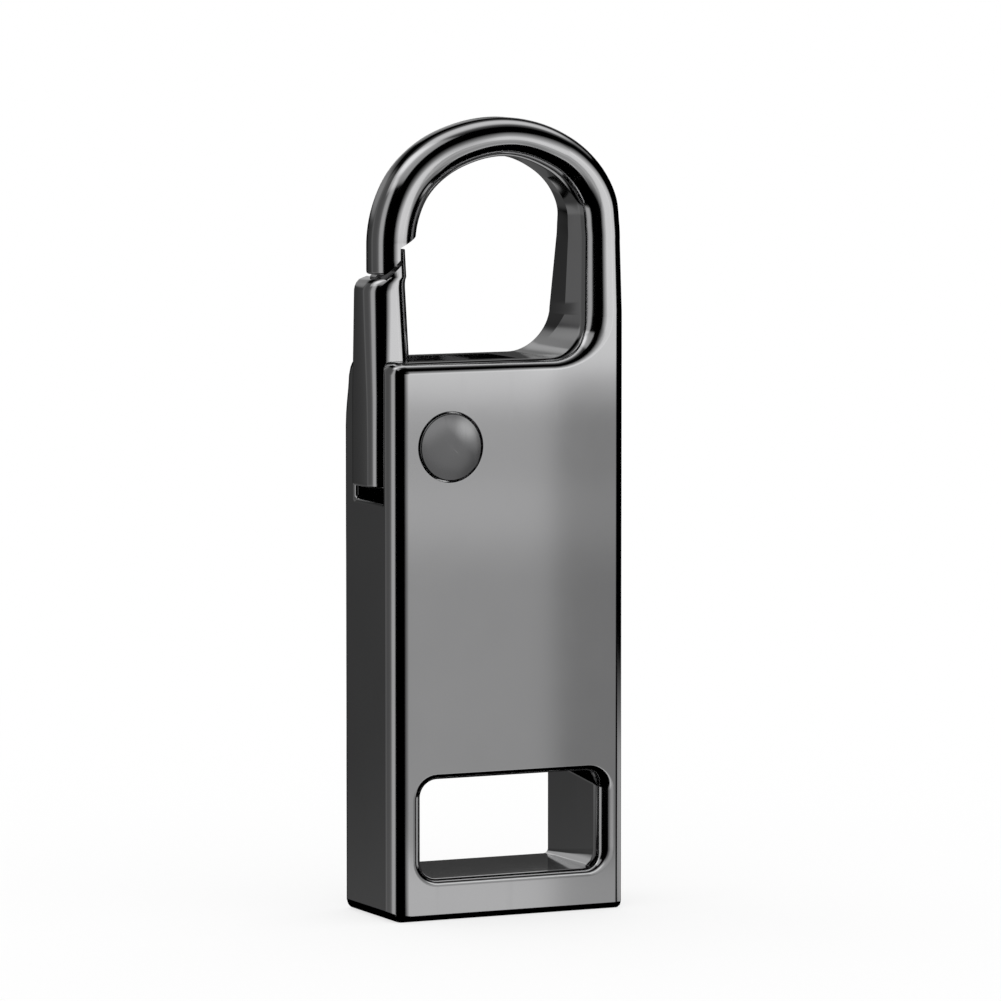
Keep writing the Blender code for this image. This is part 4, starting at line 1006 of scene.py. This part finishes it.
def buildPlug():
    p = plug
    x = pivot["x"]
    wide, deep = p["half"]
    sleeve = startCube("plug", (x - wide, -deep, p["tip"]), (x + wide, deep, p["rear"]))
    applyBevel(sleeve, lambda middle, run: p["mouth"] if middle.z < p["tip"] + 0.01 else p["round"], p["round"], 8)
    across, thick, low, high = p["neck"]
    applyBoolean(sleeve, startCube("neck", (x - across, -thick, low), (x + across, thick, high)), "UNION")
    inside = wide - p["wall"], deep - p["wall"]
    hollow = startCube("hollow", (x - inside[0], -inside[1], p["tip"] - 0.3), (x + inside[0], inside[1], p["hollowTop"]))
    applyBevel(hollow, lambda middle, run: p["corner"] if abs(run.z) > 1 else 0, p["corner"], 6)
    applyBoolean(sleeve, hollow)
    across, thick = p["throat"]
    applyBoolean(sleeve, startCube("throat", (x - across, -thick, p["tip"]), (x + across, thick, high + 0.3)))
    reach, low, high, corner = p["hole"]
    for offset in p["holes"]:
        hole = roundedCorners([(x + offset - reach, low, corner), (x + offset + reach, low, corner),
                               (x + offset + reach, high, corner), (x + offset - reach, high, corner)], 6)
        applyBoolean(sleeve, startOutline("hole", [tuple(point) for point in hole], -deep - 0.3, deep + 0.3))
    reach, sink = p["seam"]                                        # the folded sheet's joint
    applyBoolean(sleeve, startCube("seam", (x - reach, deep - sink, p["tip"] - 0.3), (x + reach, deep + 0.3, p["rear"] - 0.6)))
    finishPiece(sleeve, "plug_sleeve", "plug_arm", brightSteel, ["plug_shell"])


buildArm()
buildPlug()
print("plug done")


# finishes on the CAD nodes that stay

nodeFinish = {
    "plug_pivot_pin": brightSteel, "friction_washer": springSteel,
    "pivot_bushing": turnedBrass, "board_carrier": blackPlastic, "circuit_board": boardGreen,
    "flash_chip": chipEpoxy, "controller_chip": chipEpoxy, "clock_crystal": brightSteel}
for family, count, finish in (("plug_contact", 4, goldPlate), ("capacitor", 3, ceramicTan), ("resistor", 3, chipEpoxy)):
    for number in range(count):
        nodeFinish[f"{family}_{number + 1}"] = finish
for nodeName, finish in nodeFinish.items():
    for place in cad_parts[nodeName].material_slots:
        place.material = finish
print("finishes on", len(nodeFinish), "CAD nodes")


# studio

studio = {
    "floor": 0.9, "shadowFrom": 0.05, "shadowTo": 0.14, "shadow": 0.7, "shell": 0.7,
    "aim": (0.25, 0.0, 28.0), "dimBelow": (-0.08, -0.13), "dim": 0.065, "dimBehind": (-0.1, 0.1), "shade": (0.1, -0.016)}

# light panels seen only in reflections: turn from the front towards the left, lift, distance, width, height,
# strength, then the share of the strength across the width and up the height
fall = ((0, 0), (0.14, 1), (0.86, 1), (1, 0))
panels = {
    "front_panel": (-25, 0, 80, 150, 120, 1.13,
                    ((0, 0), (0.25, 0.75), (0.31, 1), (0.506, 1), (0.525, 0.62), (0.64, 0.62), (0.75, 0), (1, 0)),
                    ((0, 0), (0.14, 0.2), (0.165, 0.72), (0.195, 0.72), (0.22, 0.46), (0.279, 0.43), (0.4, 0.43),
                     (0.428, 0.48), (0.465, 0.58), (0.49, 0.53), (0.515, 0.53), (0.54, 0.8), (0.575, 0.95),
                     (0.633, 1), (0.747, 0.62), (0.908, 0.2), (1, 0))),
    "front_right_high": (-25, 0, 79.5, 150, 120, 0.42,
                         ((0, 0), (0.495, 0), (0.52, 1), (0.64, 1), (0.75, 0), (1, 0)),
                         ((0, 0), (0.545, 0), (0.57, 1), (0.7, 0.8), (0.95, 0), (1, 0))),
    "left_wall": (110, 0, 250, 870, 700, 0.62,
                  ((0, 0), (0.09, 0.06), (0.213, 0.1), (0.26, 0.14), (0.32, 0.28), (0.38, 0.2), (0.46, 0.2),
                   (0.55, 0.3), (0.6, 0.85), (0.66, 1), (0.73, 0.6), (0.79, 0), (1, 0)),
                  ((0, 0), (0.25, 0), (0.35, 1), (0.75, 1), (0.9, 0), (1, 0))),
    "upper_left": (75, 50, 250, 300, 170, 0.5, fall, ((0, 0), (0.3, 1), (0.7, 1), (1, 0))),
    "overhead": (0, 90, 250, 900, 330, 1.0, ((0, 0), (0.15, 0.2), (0.3, 1), (0.65, 1), (0.85, 0.3), (1, 0.2)),
                 ((0, 0), (0.2, 0.15), (0.38, 0.85), (0.5, 1), (0.65, 0.85), (0.8, 0.15), (1, 0))),
    "back_card": (172, 24, 68, 70, 60, 0.32, ((0, 0), (0.3, 1), (0.7, 1), (1, 0)),
                  ((0, 0), (0.45, 0), (0.6, 0.8), (0.75, 1), (0.9, 0.5), (1, 0))),
    "back_low": (180, -20.1, 31.9, 80, 18, 0.55, ((0, 0), (0.1, 1), (0.5, 1), (0.66, 0), (1, 0)),
                 ((0, 0), (0.2, 1), (0.8, 1), (1, 0))),
    "right_low": (-90, -18, 100, 110, 24, 0.5, fall, ((0, 0), (0.1, 1), (0.5, 1), (0.8, 0.4), (1, 0))),
    "back_right": (-155, 5, 250, 200, 300, 0.22, fall, ((0, 0.2), (0.56, 0.25), (0.63, 1), (1, 1)))}


def glow(name, strength):
    material = bpy.data.materials.new(name)
    material.use_nodes = True
    nodes, links = material.node_tree.nodes, material.node_tree.links
    nodes.remove(nodes["Principled BSDF"])
    light = nodes.new("ShaderNodeEmission")
    light.inputs["Strength"].default_value = strength
    links.new(light.outputs["Emission"], nodes["Material Output"].inputs["Surface"])
    return material, light


def reflectionOnly(piece):
    piece.visible_camera = False
    piece.visible_diffuse = False
    piece.visible_transmission = False
    piece.visible_volume_scatter = False
    piece.visible_shadow = False


def addPanel(name, turn, lift, distance, width, height, strength, across, upward):
    # flat panel facing the object, added to whatever lies behind it
    clearSelection()
    bpy.ops.mesh.primitive_grid_add(x_subdivisions=2, y_subdivisions=2, size=1)
    panel = bpy.context.object
    panel.name = name
    a, e = radians(turn), radians(lift)
    way = Vector((-sin(a) * cos(e), -cos(a) * cos(e), sin(e)))
    panel.scale = (width * mm, height * mm, 1)
    panel.rotation_mode = "QUATERNION"
    panel.rotation_quaternion = way.to_track_quat("Z", "Y")
    panel.location = Vector(studio["aim"]) * mm + way * distance * mm
    material, light = glow(name, strength)
    nodes, links = material.node_tree.nodes, material.node_tree.links
    clear = nodes.new("ShaderNodeBsdfTransparent")
    both = nodes.new("ShaderNodeAddShader")
    links.new(clear.outputs["BSDF"], both.inputs[0])
    links.new(light.outputs["Emission"], both.inputs[1])
    links.new(both.outputs["Shader"], nodes["Material Output"].inputs["Surface"])
    place = nodes.new("ShaderNodeTexCoord")
    split = nodes.new("ShaderNodeSeparateXYZ")
    links.new(place.outputs["Object"], split.inputs["Vector"])
    shares = []
    for axis, points in (("X", across), ("Y", upward)):
        curve = nodes.new("ShaderNodeFloatCurve")
        line = curve.mapping.curves[0]
        line.points[0].location = points[0]
        line.points[1].location = points[-1]
        for point in points[1:-1]:
            line.points.new(*point)
        for point in line.points:
            point.handle_type = "AUTO_CLAMPED"
        curve.mapping.update()
        links.new(addMath(nodes, links, "ADD", split.outputs[axis], 0.5), curve.inputs["Value"])
        shares.append(curve.outputs[0])
    links.new(addMath(nodes, links, "MULTIPLY", addMath(nodes, links, "MULTIPLY", *shares), strength),
              light.inputs["Strength"])
    panel.data.materials.append(material)
    reflectionOnly(panel)


def addFloor():
    # white to the camera, darkened near the object by its shadow
    s = studio
    clearSelection()
    bpy.ops.mesh.primitive_circle_add(vertices=96, radius=s["floor"], fill_type="NGON", location=(0, 0, -0.00002))
    floor = bpy.context.object
    floor.name = "floor"
    bpy.ops.object.transform_apply(location=True, rotation=True, scale=True)
    paper = bpy.data.materials.new("white paper")
    paper.use_nodes = True
    nodes, links = paper.node_tree.nodes, paper.node_tree.links
    shader = nodes["Principled BSDF"]
    shader.inputs["Base Color"].default_value = (1, 1, 1, 1)
    shader.inputs["Roughness"].default_value = 0.9
    shader.inputs["Specular IOR Level"].default_value = 0.0
    place = nodes.new("ShaderNodeTexCoord")
    reach = nodes.new("ShaderNodeVectorMath")
    reach.operation = "LENGTH"
    links.new(place.outputs["Object"], reach.inputs[0])
    fade = nodes.new("ShaderNodeMapRange")
    fade.inputs["From Min"].default_value = s["shadowFrom"]
    fade.inputs["From Max"].default_value = s["shadowTo"]
    fade.inputs["To Min"].default_value = s["shadow"]
    links.new(reach.outputs["Value"], fade.inputs["Value"])
    path = nodes.new("ShaderNodeLightPath")
    lit = nodes.new("ShaderNodeEmission")
    mix = nodes.new("ShaderNodeMixShader")
    links.new(addMath(nodes, links, "MULTIPLY", path.outputs["Is Camera Ray"], fade.outputs["Result"]), mix.inputs["Fac"])
    links.new(shader.outputs["BSDF"], mix.inputs[1])
    links.new(lit.outputs["Emission"], mix.inputs[2])
    links.new(mix.outputs["Shader"], nodes["Material Output"].inputs["Surface"])
    floor.data.materials.append(paper)
    floor.visible_glossy = False


def addShell():
    # black all round for reflections, a little lighter low down behind, and black again under the object
    s = studio
    clearSelection()
    bpy.ops.mesh.primitive_uv_sphere_add(segments=48, ring_count=24, radius=s["shell"], location=(0, 0, 0.03))
    shell = bpy.context.object
    bpy.ops.object.transform_apply(location=True, rotation=True, scale=True)
    shell.name = "dark_shell"
    material, light = glow("dark shell", 0.0)
    nodes, links = material.node_tree.nodes, material.node_tree.links
    place = nodes.new("ShaderNodeTexCoord")
    split = nodes.new("ShaderNodeSeparateXYZ")
    links.new(place.outputs["Object"], split.inputs["Vector"])
    fade = nodes.new("ShaderNodeMapRange")
    fade.inputs["From Min"].default_value = s["dimBelow"][0]
    fade.inputs["From Max"].default_value = s["dimBelow"][1]
    fade.inputs["To Max"].default_value = s["dim"]
    links.new(split.outputs["Z"], fade.inputs["Value"])
    behind = nodes.new("ShaderNodeMapRange")
    behind.inputs["From Min"].default_value = s["dimBehind"][0]
    behind.inputs["From Max"].default_value = s["dimBehind"][1]
    links.new(split.outputs["Y"], behind.inputs["Value"])
    links.new(addMath(nodes, links, "MULTIPLY", fade.outputs["Result"], behind.outputs["Result"]),
              light.inputs["Strength"])
    shell.data.materials.append(material)
    reflectionOnly(shell)
    radius, height = s["shade"]
    clearSelection()
    bpy.ops.mesh.primitive_circle_add(vertices=64, radius=radius, fill_type="NGON", location=(0, 0, height))
    disc = bpy.context.object
    disc.name = "low_shade"
    disc.data.materials.append(glow("low shade", 0.0)[0])
    reflectionOnly(disc)


def buildStudio():
    scene = bpy.context.scene
    scene.view_settings.view_transform = "Standard"
    world = bpy.data.worlds.new("white room")
    scene.world = world
    world.use_nodes = True
    background = world.node_tree.nodes["Background"]
    background.inputs["Color"].default_value = (1, 1, 1, 1)
    background.inputs["Strength"].default_value = 1.0
    addFloor()
    addShell()
    for name, values in panels.items():
        addPanel(name, *values)


buildStudio()


# camera

camera = {"turn": -25.29, "lift": 5.334, "pixels": 7000.0, "away": 520.0, "size": 1001,
          "target": (0.25, 0.0, 31.67), "seenAt": (483.79, 485.28)}


def buildCamera():
    c = camera
    a, e = radians(c["turn"]), radians(c["lift"])
    back = Vector((sin(a) * cos(e), -cos(a) * cos(e), sin(e)))
    right = Vector((cos(a), sin(a), 0))
    up = back.cross(right)
    aim = Vector(c["target"])
    scale = c["pixels"] / c["away"]                               # pixels per millimetre at the target
    aim = aim + right * (c["size"] / 2 - c["seenAt"][0]) / scale
    aim = aim - up * (c["size"] / 2 - c["seenAt"][1]) / scale
    data = bpy.data.cameras.new("camera")
    data.sensor_width = 36
    data.lens = c["pixels"] / c["size"] * data.sensor_width
    data.clip_start = 0.01
    data.clip_end = 10
    item = bpy.data.objects.new("camera", data)
    bpy.context.scene.collection.objects.link(item)
    item.location = (aim + back * c["away"]) * mm
    item.rotation_mode = "QUATERNION"
    item.rotation_quaternion = (-back).to_track_quat("-Z", "Y")
    bpy.context.scene.camera = item


buildCamera()
print("studio and camera ready")
